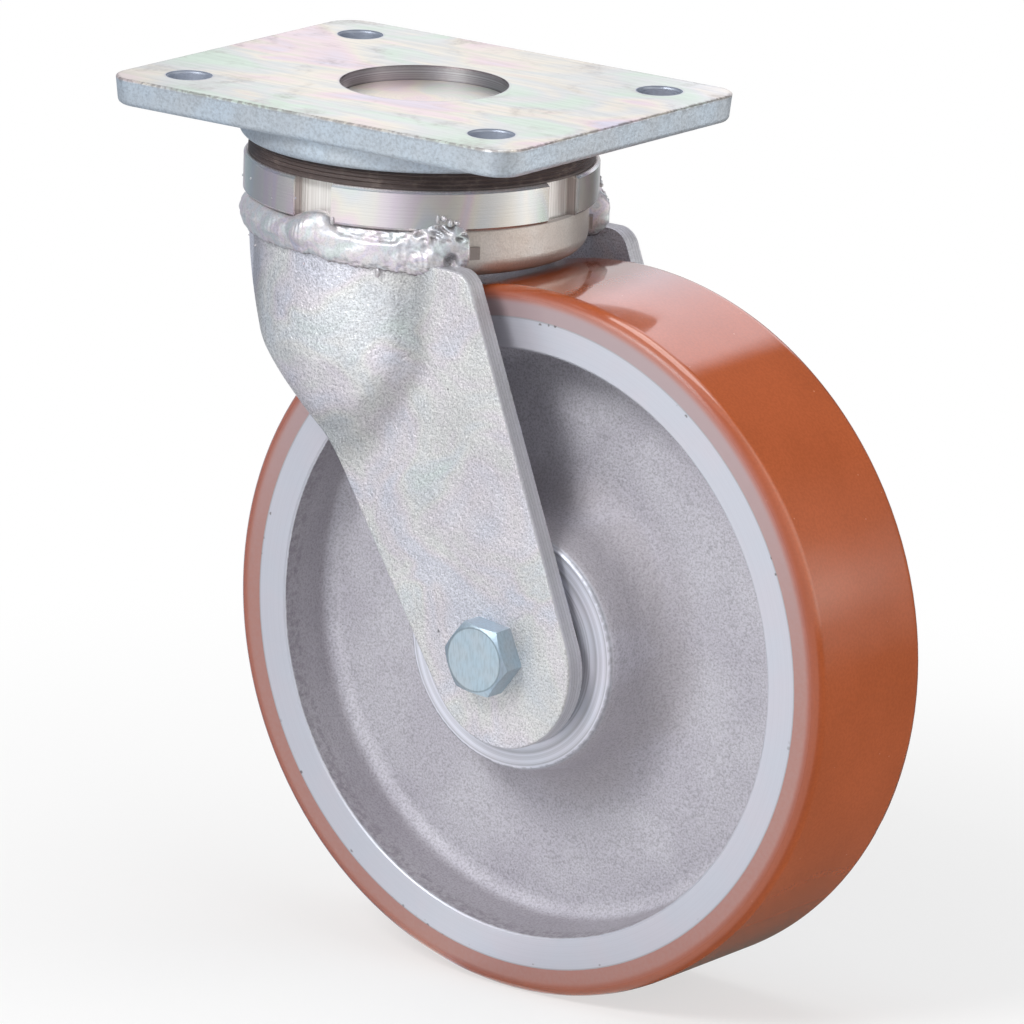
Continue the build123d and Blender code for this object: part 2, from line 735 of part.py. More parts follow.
def main():
    """Make every piece and write one file for each."""
    os.makedirs("parts", exist_ok=True)
    housing = swivel_housing()
    leg = fork_leg()
    bead = weld(housing, leg)
    pieces = {
        "top_plate": top_plate(),
        "king_pin": king_pin(),
        "king_pin_washer": king_pin_washer(),
        "king_pin_nut": king_pin_nut(),
        "split_pin": split_pin(),
        "thrust_washer_upper": thrust_washer(1),
        "thrust_washer_lower": thrust_washer(-1),
        "thrust_cage": thrust_cage(),
        "thrust_balls": thrust_balls(),
        "taper_inner_ring": taper_inner_ring(),
        "taper_outer_ring": taper_outer_ring(),
        "taper_cage": taper_cage(),
        "taper_rollers": taper_rollers(),
        "swivel_housing": housing,
        "dust_seal": dust_seal(),
        "fork_leg_left": leg,
        "fork_leg_right": opposite(leg),
        "weld_left": bead,
        "weld_right": opposite(bead),
        "wheel_centre": wheel_centre(),
        "tyre": tyre(),
        "inner_spacer": inner_spacer(),
        "axle_tube": axle_tube(),
        "axle_bolt": axle_bolt(),
        "axle_washer": axle_washer(),
        "axle_nut": axle_nut(),
        "nut_locking_ring": nut_locking_ring(),
    }
    paired = {
        "bearing_inner_ring": wheel_bearing_inner(),
        "bearing_outer_ring": wheel_bearing_outer(),
        "bearing_balls": wheel_bearing_balls(),
        "bearing_cage": wheel_bearing_cage(),
        "bearing_seals": wheel_bearing_seals(),
        "side_spacer": side_spacer(),
    }
    for name, shape in paired.items():
        pieces[name + "_left"] = shape
        pieces[name + "_right"] = opposite(shape)
    for name, shape in pieces.items():
        export_step(shape, f"parts/{name}.step")


main()
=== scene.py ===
import math

import bpy
import numpy as np
from mathutils import Matrix, Vector


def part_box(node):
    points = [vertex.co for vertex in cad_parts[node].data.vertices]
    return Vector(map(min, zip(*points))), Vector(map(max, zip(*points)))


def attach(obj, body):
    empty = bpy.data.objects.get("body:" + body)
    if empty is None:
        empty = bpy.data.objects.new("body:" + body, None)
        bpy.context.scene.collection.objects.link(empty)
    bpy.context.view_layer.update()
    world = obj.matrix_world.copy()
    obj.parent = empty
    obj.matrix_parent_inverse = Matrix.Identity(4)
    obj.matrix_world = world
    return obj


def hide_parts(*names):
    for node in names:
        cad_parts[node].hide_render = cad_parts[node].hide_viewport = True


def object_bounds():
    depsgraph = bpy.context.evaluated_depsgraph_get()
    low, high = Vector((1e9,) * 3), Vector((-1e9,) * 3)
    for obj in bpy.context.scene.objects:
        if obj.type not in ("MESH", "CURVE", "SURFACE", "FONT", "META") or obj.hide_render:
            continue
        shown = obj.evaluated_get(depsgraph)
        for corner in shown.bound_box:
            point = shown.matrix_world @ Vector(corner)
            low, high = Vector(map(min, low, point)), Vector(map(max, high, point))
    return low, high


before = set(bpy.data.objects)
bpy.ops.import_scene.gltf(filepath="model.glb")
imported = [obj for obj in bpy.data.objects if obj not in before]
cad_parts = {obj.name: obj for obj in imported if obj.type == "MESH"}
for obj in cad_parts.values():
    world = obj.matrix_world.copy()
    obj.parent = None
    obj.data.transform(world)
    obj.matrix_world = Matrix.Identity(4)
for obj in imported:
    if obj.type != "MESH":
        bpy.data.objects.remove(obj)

bl_info = {
    "name": "Swivel castor finishes",
    "version": (1, 0, 0),
    "blender": (4, 5, 0),
    "location": "View3D > Sidebar > Castor",
    "description": "Zinc, cast iron and polyurethane finishes, weld beads and a studio for the swivel castor",
    "category": "Object",
}

CAD_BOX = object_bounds()
PLATE_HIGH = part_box("top_plate")[1]
TYRE_LOW, TYRE_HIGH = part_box("tyre")
AXLE = (TYRE_LOW + TYRE_HIGH) / 2
MM = 0.001

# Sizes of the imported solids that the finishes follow
PLATE_CORNER = 9 * MM
HOLE_X, HOLE_Y, HOLE_RADIUS = 52.5 * MM, 38.5 * MM, 6.5 * MM
RECESS_RADIUS, RECESS_FLOOR = 23.5 * MM, -4.2 * MM
PIN_THREAD_TOP, PIN_PITCH = -46 * MM, 1.5 * MM
RING_TOP, RING_BOTTOM, RING_RADIUS = -19.6 * MM, -30.8 * MM, 49.5 * MM
NOTCH_FLOOR, BOWL_RADIUS = 45 * MM, 46.8 * MM
LEG_INNER, LEG_OUTER = 33 * MM, 39 * MM
BULGE_RADIUS, BULGE_SHOULDER, BULGE_SLOPE = 47.5 * MM, -69 * MM, 9.3 / 26
RIM_INNER, RIM_OUTER, RIM_FACE = 83 * MM, 92 * MM, 25 * MM
HUB_RADIUS, HUB_FACE = 34 * MM, 30 * MM
TYRE_RADIUS = 100 * MM
BOLT_FACE, BOLT_FACE_RADIUS = -46.5 * MM, 9 * MM
BOLT_THREAD_START, BOLT_PITCH = 49 * MM, 1.75 * MM


# Shader building

class Signal:
    """A number that varies over a surface. Arithmetic on it adds Math nodes to its finish."""

    def __init__(self, finish, socket):
        self.finish = finish
        self.socket = socket

    def __add__(self, other):
        return self.finish.math("ADD", self, other)

    def __sub__(self, other):
        return self.finish.math("SUBTRACT", self, other)

    def __rsub__(self, other):
        return self.finish.math("SUBTRACT", other, self)

    def __mul__(self, other):
        return self.finish.math("MULTIPLY", self, other)

    def __truediv__(self, other):
        return self.finish.math("DIVIDE", self, other)

    def __abs__(self):
        return self.finish.math("ABSOLUTE", self)

    __radd__ = __add__
    __rmul__ = __mul__

    def step(self, low, high):
        """0 below low, 1 above high and a smooth rise between; low above high gives a fall."""
        settings = {"interpolation_type": "SMOOTHSTEP"}
        return self.finish.value("ShaderNodeMapRange", settings, {0: self, 1: low, 2: high})

    def past(self, edge, low, high):
        """A step across an edge, between two distances beyond it in millimetres."""
        return self.step(edge + low * MM, edge + high * MM)

    def band(self, low, high, soft):
        """1 between low and high, with soft edges."""
        return self.step(low - soft, low) * self.step(high + soft, high)


class Finish:
    """A procedural material: one shader and the patterns that feed it."""

    def __init__(self, name, **constants):
        self.material = bpy.data.materials.new(name)
        self.material.use_nodes = True
        self.tree = self.material.node_tree
        self.tree.nodes.clear()
        self.shader = self.node("ShaderNodeBsdfPrincipled", sockets=constants)
        self.node("ShaderNodeOutputMaterial", sockets={"Surface": self.shader.outputs["BSDF"]})
        self.place = self.node("ShaderNodeTexCoord").outputs["Object"]
        parts = self.node("ShaderNodeSeparateXYZ", sockets={0: self.place})
        self.x, self.y, self.z = (Signal(self, socket) for socket in parts.outputs)

    def node(self, kind, settings=None, sockets=None):
        """Add a node: its settings first, then the value or the link of each socket."""
        node = self.tree.nodes.new(kind)
        for name, setting in (settings or {}).items():
            if name == "stops":
                self.set_stops(node.color_ramp, setting)
            else:
                setattr(node, name, setting)
        for name, given in (sockets or {}).items():
            socket = node.inputs[name.replace("_", " ") if isinstance(name, str) else name]
            if isinstance(given, Signal):
                given = given.socket
            if isinstance(given, bpy.types.NodeSocket):
                self.tree.links.new(given, socket)
            elif socket.type == "RGBA":
                socket.default_value = (*given, 1.0)
            else:
                socket.default_value = given
        return node

    @staticmethod
    def set_stops(ramp, stops):
        """Fill a colour ramp from (place, colour) pairs."""
        while len(ramp.elements) < len(stops):
            ramp.elements.new(0.5)
        for element, (place, colour) in zip(ramp.elements, stops):
            element.position = place
            element.color = (*colour, 1.0)

    def value(self, kind, settings=None, sockets=None):
        """The first output of a new node, as a signal."""
        return Signal(self, self.node(kind, settings, sockets).outputs[0])

    def math(self, operation, *values):
        """A Math node on signals and numbers."""
        return self.value("ShaderNodeMath", {"operation": operation}, dict(enumerate(values)))

    def stretched(self, stretch, turn=(0, 0, 0)):
        """Object coordinates, turned and then scaled, for a pattern that runs one way."""
        return self.node("ShaderNodeMapping", sockets={0: self.place, 2: turn, 3: stretch}).outputs[0]

    def noise(self, size, detail=3, rough=0.5, warp=0.0, place=None):
        """Cloudy noise whose lumps are about size millimetres across."""
        sockets = {
            "Vector": place or self.place, "Scale": 1 / (size * MM), "Detail": detail, "Roughness": rough,
            "Distortion": warp,
        }
        return self.value("ShaderNodeTexNoise", None, sockets)

    def lines(self, along, size):
        """Noise that varies only with one distance, such as the lines that a lathe leaves."""
        sockets = {"W": along, "Scale": 1 / (size * MM), "Detail": 2}
        return self.value("ShaderNodeTexNoise", {"noise_dimensions": "1D"}, sockets)

    def specks(self, size, share, width):
        """Small marks in cells of size millimetres: share is the part that has one, width its reach."""
        sockets = {"Vector": self.place, "Scale": 1 / (size * MM)}
        cells = self.node("ShaderNodeTexVoronoi", None, sockets)
        pick = self.value("ShaderNodeSeparateXYZ", None, {0: cells.outputs["Color"]})
        ragged = Signal(self, cells.outputs["Distance"]) + 0.12 * (self.noise(size * 0.2, 2) - 0.5)
        return ragged.step(width, width * 0.5) * pick.step(share, share - 0.05)

    def away(self, a, b):
        """Distance from an axis, from the two coordinates across it."""
        return self.math("SQRT", a * a + b * b)

    def mix(self, mask, below, above):
        """Colour that goes from below to above as the mask goes from 0 to 1."""
        node = self.node("ShaderNodeMix", {"data_type": "RGBA"}, {0: mask, 6: below, 7: above})
        return node.outputs[2]

    def shade(self, colour, amount, low, high):
        """Colour made darker or lighter: times low where amount is 0 and times high where it is 1."""
        settings = {"data_type": "RGBA", "blend_type": "MULTIPLY"}
        level = self.mix(amount, (low, low, low), (high, high, high))
        return self.node("ShaderNodeMix", settings, {0: 1.0, 6: colour, 7: level}).outputs[2]

    def ramp(self, amount, stops):
        """Colour picked along a row of stops."""
        return self.node("ShaderNodeValToRGB", {"stops": stops}, {0: amount}).outputs[0]

    def relief(self, *layers):
        """Bump from (height, depth in millimetres) layers, one on the other."""
        total = None
        for height, depth in layers:
            total = height * depth if total is None else total + height * depth
        return self.node("ShaderNodeBump", None, {"Distance": MM, "Height": total}).outputs[0]

    def show(self, shader):
        """Lead a shader other than the finish's own to the surface."""
        output = next(node for node in self.tree.nodes if node.type == "OUTPUT_MATERIAL")
        self.tree.links.new(shader.outputs[0], output.inputs["Surface"])

    def use(self, colour=None, rough=None, normal=None, metal=None):
        """Feed the shader and return the finished material."""
        wanted = {"Base Color": colour, "Roughness": rough, "Normal": normal, "Metallic": metal}
        for name, given in wanted.items():
            if given is not None:
                given = given.socket if isinstance(given, Signal) else given
                self.tree.links.new(given, self.shader.inputs[name])
        return self.material


def wear(nodes, material):
    """Give a finish to carried-over nodes."""
    for name in nodes:
        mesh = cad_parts[name].data
        mesh.materials.clear()
        mesh.materials.append(material)


def add_object(name, data):
    """Put a mesh, a light or a camera into the scene."""
    piece = bpy.data.objects.new(name, data)
    bpy.context.scene.collection.objects.link(piece)
    return piece


# Finishes

def film_colours(finish, amount, tones):
    """Thin colours of a clear passivate: mint, cream, pink and lilac as the film gets thicker."""
    return finish.ramp(amount, [
        (0.34, tones.mint_film), (0.44, tones.zinc_light), (0.52, tones.cream_film), (0.60, tones.pink_film),
        (0.70, tones.lilac_film),
    ])


def plate_edge(finish):
    """Distance inside the plate's outline: a rounded rectangle's signed distance, turned round."""
    across_x = abs(finish.x) - (PLATE_HIGH.x - PLATE_CORNER)
    across_y = abs(finish.y) - (PLATE_HIGH.y - PLATE_CORNER)
    outer_x, outer_y = finish.math("MAXIMUM", across_x, 0), finish.math("MAXIMUM", across_y, 0)
    nearer = finish.math("MINIMUM", finish.math("MAXIMUM", across_x, across_y), 0)
    return PLATE_CORNER - finish.away(outer_x, outer_y) - nearer


def plate_finish(tones):
    """Top plate: coloured films and rolling streaks on the flat top, pale blue forged grain on the sides."""
    finish = Finish("plate zinc", Metallic=0.55)
    top = finish.z.step(-0.9 * MM, -0.25 * MM)
    streak = finish.noise(2.2, 3, place=finish.stretched((0.05, 1, 1)))
    cloud = finish.noise(34, 2, warp=0.9, place=finish.stretched((0.7, 1.15, 1)))
    film = film_colours(finish, cloud + (streak - 0.5) * 0.12, tones)
    film = finish.mix(0.70, (0.53, 0.525, 0.48), film)
    film = finish.shade(film, streak.step(0.35, 0.62), 0.90, 1.0)
    scratch = finish.noise(0.7, 2, place=finish.stretched((0.12, 1, 1)))
    film = finish.shade(film, scratch.step(0.30, 0.45), 0.90, 1.0)
    inset = plate_edge(finish)
    rub = inset.step(9 * MM, 1 * MM) * 0.06
    stain = (finish.noise(15, 4, rough=0.6, warp=0.5) + rub).step(0.53, 0.72)
    stain = stain * (0.5 + 0.5 * finish.noise(1.6, 3).step(0.42, 0.58))
    film = finish.mix(stain * 0.50, film, (0.33, 0.29, 0.28))
    grain = finish.noise(0.9, 4, rough=0.65)
    sides = finish.mix(finish.noise(16, 2).step(0.35, 0.65), tones.zinc_blue, (0.50, 0.55, 0.60))
    sides = finish.shade(sides, grain.step(0.30, 0.62), 0.80, 1.06)
    sides = finish.shade(sides, finish.specks(2.2, 0.20, 0.10), 1.0, 0.62)
    nick = finish.noise(1.6, 3).step(0.42, 0.58)
    edge = inset.step(1.3 * MM, 0.25 * MM) * finish.z.step(-1.6 * MM, -0.1 * MM)
    from_hole = finish.away(abs(finish.x) - HOLE_X, abs(finish.y) - HOLE_Y)
    hole_wall = from_hole.past(HOLE_RADIUS, 0.25, 0.05)
    from_axis = finish.away(finish.x, finish.y)
    recess = from_axis.past(RECESS_RADIUS, 0.25, 0.05) * finish.z.past(RECESS_FLOOR, -0.2, 0)
    colour = finish.mix(top, sides, film)
    colour = finish.mix(edge * (0.16 + 0.54 * nick), colour, (0.22, 0.20, 0.20))
    rim = from_hole.past(HOLE_RADIUS, 1.1, 0.3) + from_axis.past(RECESS_RADIUS, 1, 0.3)
    colour = finish.mix(rim * 0.30, colour, (0.42, 0.42, 0.46))
    colour = finish.mix(hole_wall, colour, (0.40, 0.44, 0.52))
    turning = finish.lines(finish.z, 0.5).step(0.35, 0.65)
    colour = finish.mix(recess, colour, finish.mix(turning, (0.24, 0.22, 0.24), (0.42, 0.42, 0.46)))
    rough = 0.50 - 0.16 * top - 0.18 * recess + 0.10 * stain + 0.06 * (grain - 0.5)
    forged = (1 - top) * (1 - recess)
    normal = finish.relief(
        (grain * forged, 0.11), (finish.noise(4.5, 2) * forged, 0.22), (streak, 0.012), (edge * nick, 0.04))
    return finish.use(colour, rough, normal, 0.62 + 0.30 * recess - 0.10 * top)


def pin_finish(tones):
    """King pin: a turned cream-coloured head whose lathe lines are rings, with faint films."""
    finish = Finish("king pin steel", Metallic=0.85)
    from_axis = finish.away(finish.x, finish.y)
    rings = finish.lines(from_axis, 0.35)
    film = film_colours(finish, finish.noise(18, 2, warp=0.5) * 0.8 + 0.10, tones)
    colour = finish.mix(0.45 + 0.25 * rings, tones.cream_film, film)
    colour = finish.shade(colour, rings.step(0.35, 0.65), 0.88, 1.04)
    joint = from_axis.past(RECESS_RADIUS, -0.6, -0.1)
    colour = finish.mix(joint * 0.8, colour, (0.10, 0.09, 0.09))
    turn = finish.math("ARCTAN2", finish.y, finish.x) / (2 * math.pi)
    thread = abs(finish.math("FRACT", turn - finish.z / PIN_PITCH) - 0.5)
    thread = thread * finish.z.past(PIN_THREAD_TOP, 0, -1)
    return finish.use(colour, 0.30 + 0.12 * rings, finish.relief((rings, 0.010), (thread, 0.9)))


def housing_finish(tones):
    """Swivel housing: bright turned ring, comb marks in the notches and a satin bowl."""
    finish = Finish("housing zinc")
    from_axis = finish.away(finish.x, finish.y)
    ring = finish.z.past(RING_BOTTOM, -0.2, 0.1)
    turning = finish.lines(finish.z, 0.30)
    cloud = finish.noise(16, 2, warp=0.6, place=finish.stretched((1, 1, 0.4)))
    film = finish.mix(0.30 + 0.4 * cloud, tones.zinc_light, film_colours(finish, cloud, tones))
    film = finish.shade(film, turning.step(0.3, 0.7), 0.95, 1.02)
    satin = finish.noise(0.55, 3)
    # Satin bowl in brownish grey: the brown tint is a painted reflection of the tyre and painted shade
    bowl = finish.mix(finish.noise(20, 2).step(0.35, 0.65), (0.58, 0.53, 0.49), (0.62, 0.60, 0.58))
    bowl = finish.shade(bowl, satin.step(0.3, 0.7), 0.90, 1.04)
    bowl = finish.shade(bowl, finish.specks(1.9, 0.10, 0.10), 1.0, 0.55)
    notch = from_axis.past(RING_RADIUS, -0.3, -0.9) * ring
    comb = finish.lines(finish.x + finish.y, 0.45)
    walls = finish.mix(comb.step(0.35, 0.65), (0.36, 0.31, 0.30), (0.58, 0.52, 0.50))
    bright = finish.mix(comb.step(0.35, 0.65), (0.72, 0.69, 0.65), (0.95, 0.93, 0.90))
    floor = from_axis.past(NOTCH_FLOOR, 1.2, 0.6)
    walls = finish.mix(floor, walls, bright)
    colour = finish.mix(ring, bowl, film)
    colour = finish.mix(notch * 0.95, colour, walls)
    # Painted shade on the lug below the ring
    lug_shade = from_axis.past(BOWL_RADIUS, 0.15, 0.35) * finish.z.past(RING_BOTTOM, -1.2, -1.7)
    colour = finish.mix(lug_shade * 0.8, colour, (0.26, 0.22, 0.21))
    # Painted shade in a thin line under the ring's bottom edge
    undercut_shade = finish.z.band(RING_BOTTOM - 0.7 * MM, RING_BOTTOM - 0.2 * MM, 0.3 * MM)
    colour = finish.mix(undercut_shade * 0.55, colour, (0.16, 0.14, 0.14))
    nick = finish.noise(2.0, 3).step(0.60, 0.68) * finish.z.past(RING_TOP, -1.6, -0.6)
    colour = finish.mix(nick * 0.5, colour, (0.88, 0.86, 0.84))
    rough = 0.36 - 0.13 * ring + 0.10 * notch + 0.05 * satin
    normal = finish.relief(
        (turning * ring, 0.006), (satin * (1 - ring), 0.05), (comb * notch, 0.05),
        (finish.noise(3.5, 2) * (1 - ring), 0.12))
    return finish.use(colour, rough, normal, 0.80 + 0.12 * ring - 0.60 * notch * floor)


def leg_finish(tones):
    """Fork leg: blasted sheet with an orange-peel grain, pin holes, faint films and sheared edges.

    The bulge is lighter (painted highlight) and the crease beside it darker (painted shade). Below its
    shoulder the bulge narrows by a slope.
    """
    finish = Finish("leg zinc")
    grain = finish.noise(0.55, 4, rough=0.65)
    peel = finish.noise(1.35, 2)
    cloud = finish.noise(24, 2, warp=0.8)
    film = film_colours(finish, cloud + 0.07, tones)
    sheet = finish.mix(finish.noise(11, 2).step(0.3, 0.7), tones.zinc_light, (0.56, 0.58, 0.61))
    colour = finish.mix(0.24, sheet, film)
    colour = finish.shade(colour, grain.step(0.30, 0.60), 0.68, 1.16)
    from_axis = finish.away(finish.x, finish.y)
    beyond = from_axis + finish.math("MAXIMUM", (BULGE_SHOULDER - finish.z) * BULGE_SLOPE, 0) - BULGE_RADIUS
    across = abs(finish.y)
    # Painted highlight on the bulge and painted shade in the crease beside it
    crease_shade = across.past(LEG_OUTER, 4.5, 0.6) * beyond.step(5.5 * MM, 0.9 * MM)
    colour = finish.shade(colour, beyond.step(0.9 * MM, -0.1 * MM), 1.0, 1.14)
    colour = finish.shade(colour, crease_shade * across.past(LEG_OUTER, -2, -1), 1.0, 0.66)
    colour = finish.shade(colour, finish.specks(1.7, 0.16, 0.11), 1.0, 0.55)
    colour = finish.shade(colour, finish.specks(8.0, 0.16, 0.07), 1.0, 0.30)
    sheared = across.band(LEG_INNER + 0.4 * MM, LEG_OUTER - 0.3 * MM, 0.2 * MM)
    sheared = sheared * from_axis.past(BULGE_RADIUS, 0.9, 1.7)
    burnish = finish.lines(across, 0.9)
    cut = finish.mix(burnish.step(0.35, 0.65), (0.46, 0.46, 0.49), (0.60, 0.60, 0.64))
    colour = finish.mix(sheared * 0.85, colour, cut)
    rough = 0.40 + 0.10 * (grain - 0.5) + 0.06 * sheared
    normal = finish.relief((grain, 0.26), (peel, 0.36), (finish.noise(6, 2), 0.16))
    return finish.use(colour, rough, normal, 0.72 - 0.30 * sheared)


def weld_finish(tones):
    """Weld bead: silvery under the plating, with lilac and straw heat tints and dark toes."""
    finish = Finish("weld metal", Metallic=0.60)
    toe = Signal(finish, finish.node("ShaderNodeAttribute", {"attribute_name": "toe"}).outputs["Fac"])
    cloud = finish.noise(5, 3, warp=0.8)
    colour = finish.mix(0.34, tones.weld_bright, film_colours(finish, cloud, tones))
    grain = finish.noise(0.5, 3)
    colour = finish.shade(colour, grain.step(0.3, 0.6), 0.86, 1.05)
    soot = toe * finish.noise(1.8, 3, rough=0.7).step(0.30, 0.55)
    colour = finish.mix(soot * 0.75, colour, (0.13, 0.11, 0.11))
    rough = 0.29 + 0.14 * grain + 0.25 * soot
    return finish.use(colour, rough, finish.relief((grain, 0.03), (finish.noise(1.6, 3), 0.05)))


def fastener_finish(name, tones, threaded=False):
    """Bluish bright zinc on turned and forged fasteners.

    The threaded one is the axle bolt, with a thread beyond its nut and a dark line round the head's face.
    """
    finish = Finish(name, Metallic=0.70)
    cloud = finish.noise(6, 2)
    colour = finish.mix(cloud.step(0.3, 0.7), tones.fastener_blue, (0.70, 0.82, 0.92))
    scratch = finish.noise(0.5, 3, place=finish.stretched((1, 1, 0.2), (0.3, 0.6, 0.2)))
    colour = finish.shade(colour, scratch.step(0.3, 0.6), 0.88, 1.03)
    layers = [(scratch, 0.02), (finish.noise(1.4, 2), 0.03)]
    if threaded:
        x, z = finish.x - AXLE.x, finish.z - AXLE.z
        angle = finish.math("ARCTAN2", z, x)
        turn = finish.math("FRACT", finish.y / BOLT_PITCH + angle / (2 * math.pi))
        ridge = abs(turn - 0.5) * finish.y.past(BOLT_THREAD_START, 0, 1)
        layers.append((ridge, 1.1))
        colour = finish.shade(colour, ridge.step(0.02, 0.4), 0.62, 1.0)
        face_rim = finish.away(x, z).band(BOLT_FACE_RADIUS - 0.25 * MM, BOLT_FACE_RADIUS, 0.2 * MM)
        face_rim = face_rim * finish.y.past(BOLT_FACE, 0.3, 0.1)
        colour = finish.shade(colour, face_rim, 1.0, 0.66)
    return finish.use(colour, 0.30 + 0.12 * cloud, finish.relief(*layers))


def bearing_finish():
    """Ground bearing steel with fine grinding lines and a trace of oil."""
    finish = Finish("bearing steel", Metallic=1.0)
    lines = finish.noise(0.4, 2, place=finish.stretched((1, 0.15, 1)))
    oil = finish.noise(7, 3, warp=0.5)
    colour = finish.mix(oil.step(0.4, 0.7), (0.62, 0.62, 0.63), (0.50, 0.46, 0.40))
    colour = finish.shade(colour, lines.step(0.3, 0.7), 0.92, 1.02)
    return finish.use(colour, 0.16 + 0.14 * oil, finish.relief((lines, 0.006)))


def turned_finish(tones):
    """Turned and plated tube and spacers with rings left by the lathe."""
    finish = Finish("turned steel", Metallic=0.85)
    rings = finish.lines(finish.y, 0.4)
    colour = finish.mix(finish.noise(8, 2).step(0.3, 0.7), tones.zinc_blue, tones.zinc_light)
    colour = finish.shade(colour, rings.step(0.3, 0.7), 0.85, 1.03)
    return finish.use(colour, 0.30 + 0.12 * rings, finish.relief((rings, 0.02)))


def iron_finish(tones):
    """Wheel centre: silver-grey rough casting with turned rim and hub faces and dark pin holes."""
    finish = Finish("wheel iron")
    x, y, z = finish.x - AXLE.x, abs(finish.y), finish.z - AXLE.z
    from_axle = finish.away(x, z)
    sand = finish.noise(0.62, 4, rough=0.65)
    lump = finish.noise(2.4, 3)
    cloud = finish.noise(22, 3, warp=0.4)
    cast = finish.mix(cloud.step(0.30, 0.70), tones.iron, (0.57, 0.56, 0.61))
    cast = finish.shade(cast, sand.step(0.30, 0.62), 0.72, 1.12)
    cast = finish.shade(cast, finish.specks(2.0, 0.16, 0.11), 1.0, 0.55)
    cast = finish.shade(cast, finish.specks(7.5, 0.14, 0.06), 1.0, 0.30)
    # Darker cloudy band round the hub flare: painted shade there, with dark mottling
    hub_shade_and_mottle = from_axle.band(HUB_RADIUS + 2 * MM, HUB_RADIUS + 8 * MM, 12 * MM) * cloud.step(0.25, 0.60)
    cast = finish.mix(hub_shade_and_mottle * 0.40, cast, (0.27, 0.235, 0.25))
    flush = y.past(RIM_FACE, -0.7, -0.3)
    # Painted shade on the rim's inner wall
    rim_wall_shade = from_axle.past(RIM_INNER, -2.8, -1.4) * (1 - flush)
    cast = finish.mix(rim_wall_shade * 0.40, cast, (0.24, 0.21, 0.22))
    rim_face = from_axle.past(RIM_INNER, -0.7, -0.2) * flush
    hub_face = from_axle.past(HUB_RADIUS, 1.2, 0.6) * y.past(HUB_FACE, -1.6, -0.6)
    turning = finish.lines(from_axle, 0.45)
    smooth = finish.mix(finish.noise(14, 2).step(0.3, 0.7), tones.iron_turned, (0.56, 0.58, 0.65))
    smooth = finish.shade(smooth, turning.step(0.3, 0.65), 0.975, 1.01)
    streak = finish.lines(from_axle, 1.3)
    # Turned hub face with its streaks, lifted up to 1.3 times: painted light against the shade beside the leg
    hub = finish.shade(smooth, streak.step(0.35, 0.60), 0.84, 1.30)
    colour = finish.mix(rim_face, cast, smooth)
    colour = finish.mix(hub_face, colour, hub)
    bond = from_axle.past(RIM_OUTER, -0.45, -0.25) * y.past(RIM_FACE, -0.7, -0.2)
    crumb = finish.specks(2.6, 0.8, 0.26) * from_axle.past(RIM_OUTER, -1.4, -0.8) * rim_face
    crumb = crumb * finish.noise(24, 1).step(0.48, 0.56)
    colour = finish.mix(bond * 0.5, colour, (0.26, 0.24, 0.24))
    colour = finish.mix(crumb * 0.8, colour, (0.12, 0.10, 0.10))
    rim_lip = from_axle.band(RIM_INNER - 0.5 * MM, RIM_INNER - 0.1 * MM, 0.25 * MM)
    hub_lip = from_axle.band(HUB_RADIUS - 0.4 * MM, HUB_RADIUS + 0.2 * MM, 0.3 * MM)
    lip = finish.math("MAXIMUM", rim_lip, hub_lip) * finish.noise(1.8, 3).step(0.40, 0.62)
    colour = finish.mix(lip * 0.35, colour, (0.16, 0.14, 0.16))
    turned = finish.math("MAXIMUM", rim_face, hub_face)
    rough = 0.62 - 0.16 * turned + 0.08 * (sand - 0.5)
    rough_cast = 1 - turned
    normal = finish.relief(
        (sand * rough_cast, 0.20), (lump * rough_cast, 0.28), (turning * turned, 0.006),
        (finish.noise(9, 2) * rough_cast, 0.35))
    return finish.use(colour, rough, normal, 0.30 + 0.10 * turned)


def tyre_finish(tones):
    """Cast polyurethane: glossy tread, frosted side faces with a painted sheen, a mould seam and trapped
    specks.
    """
    finish = Finish("tyre polyurethane", IOR=1.5, Coat_Weight=0.7, Coat_Roughness=0.05)
    x, y, z = finish.x - AXLE.x, abs(finish.y), finish.z - AXLE.z
    from_axle = finish.away(x, z)
    side = y.past(RIM_FACE, -2.4, -0.4) * from_axle.past(TYRE_RADIUS, -0.6, -5)
    cloud = finish.noise(26, 2)
    tread = finish.mix(cloud.step(0.3, 0.7), tones.tyre, (0.40, 0.088, 0.026))
    tread = finish.mix(finish.specks(3.0, 0.16, 0.09) * 0.55, tread, (0.70, 0.36, 0.22))
    tread = finish.shade(tread, finish.noise(0.8, 3).step(0.35, 0.65), 0.94, 1.05)
    # Frosted side faces: their pale pinkish grey is a painted sheen of the rough surface
    frost_and_sheen = finish.mix(finish.noise(1.2, 3).step(0.3, 0.7), tones.tyre_side_and_sheen, (0.38, 0.19, 0.165))
    # Painted light: the side faces lighter towards the top
    frost_and_sheen = finish.mix(z.step(-10 * MM, 85 * MM), frost_and_sheen, (0.40, 0.30, 0.315))
    shoulder = from_axle.band(TYRE_RADIUS - 2.6 * MM, TYRE_RADIUS - 0.6 * MM, 1.6 * MM)
    shoulder = shoulder * y.past(RIM_FACE, -3, -1)
    colour = finish.mix(side, tread, frost_and_sheen)
    colour = finish.mix(shoulder * 0.5, colour, (0.36, 0.09, 0.045))
    turn = finish.math("ARCTAN2", z, x)
    seam = turn.band(-0.745, -0.735, 0.004) * from_axle.past(TYRE_RADIUS, -2, -0.2)
    scuff = finish.noise(3.0, 3, place=finish.stretched((1, 0.2, 1)))
    rough = 0.10 + 0.36 * side + 0.04 * scuff
    normal = finish.relief(
        (seam, 0.10), (scuff, 0.012), (finish.noise(30, 2), 0.30), (finish.noise(0.7, 2) * side, 0.02))
    return finish.use(colour, rough, normal)


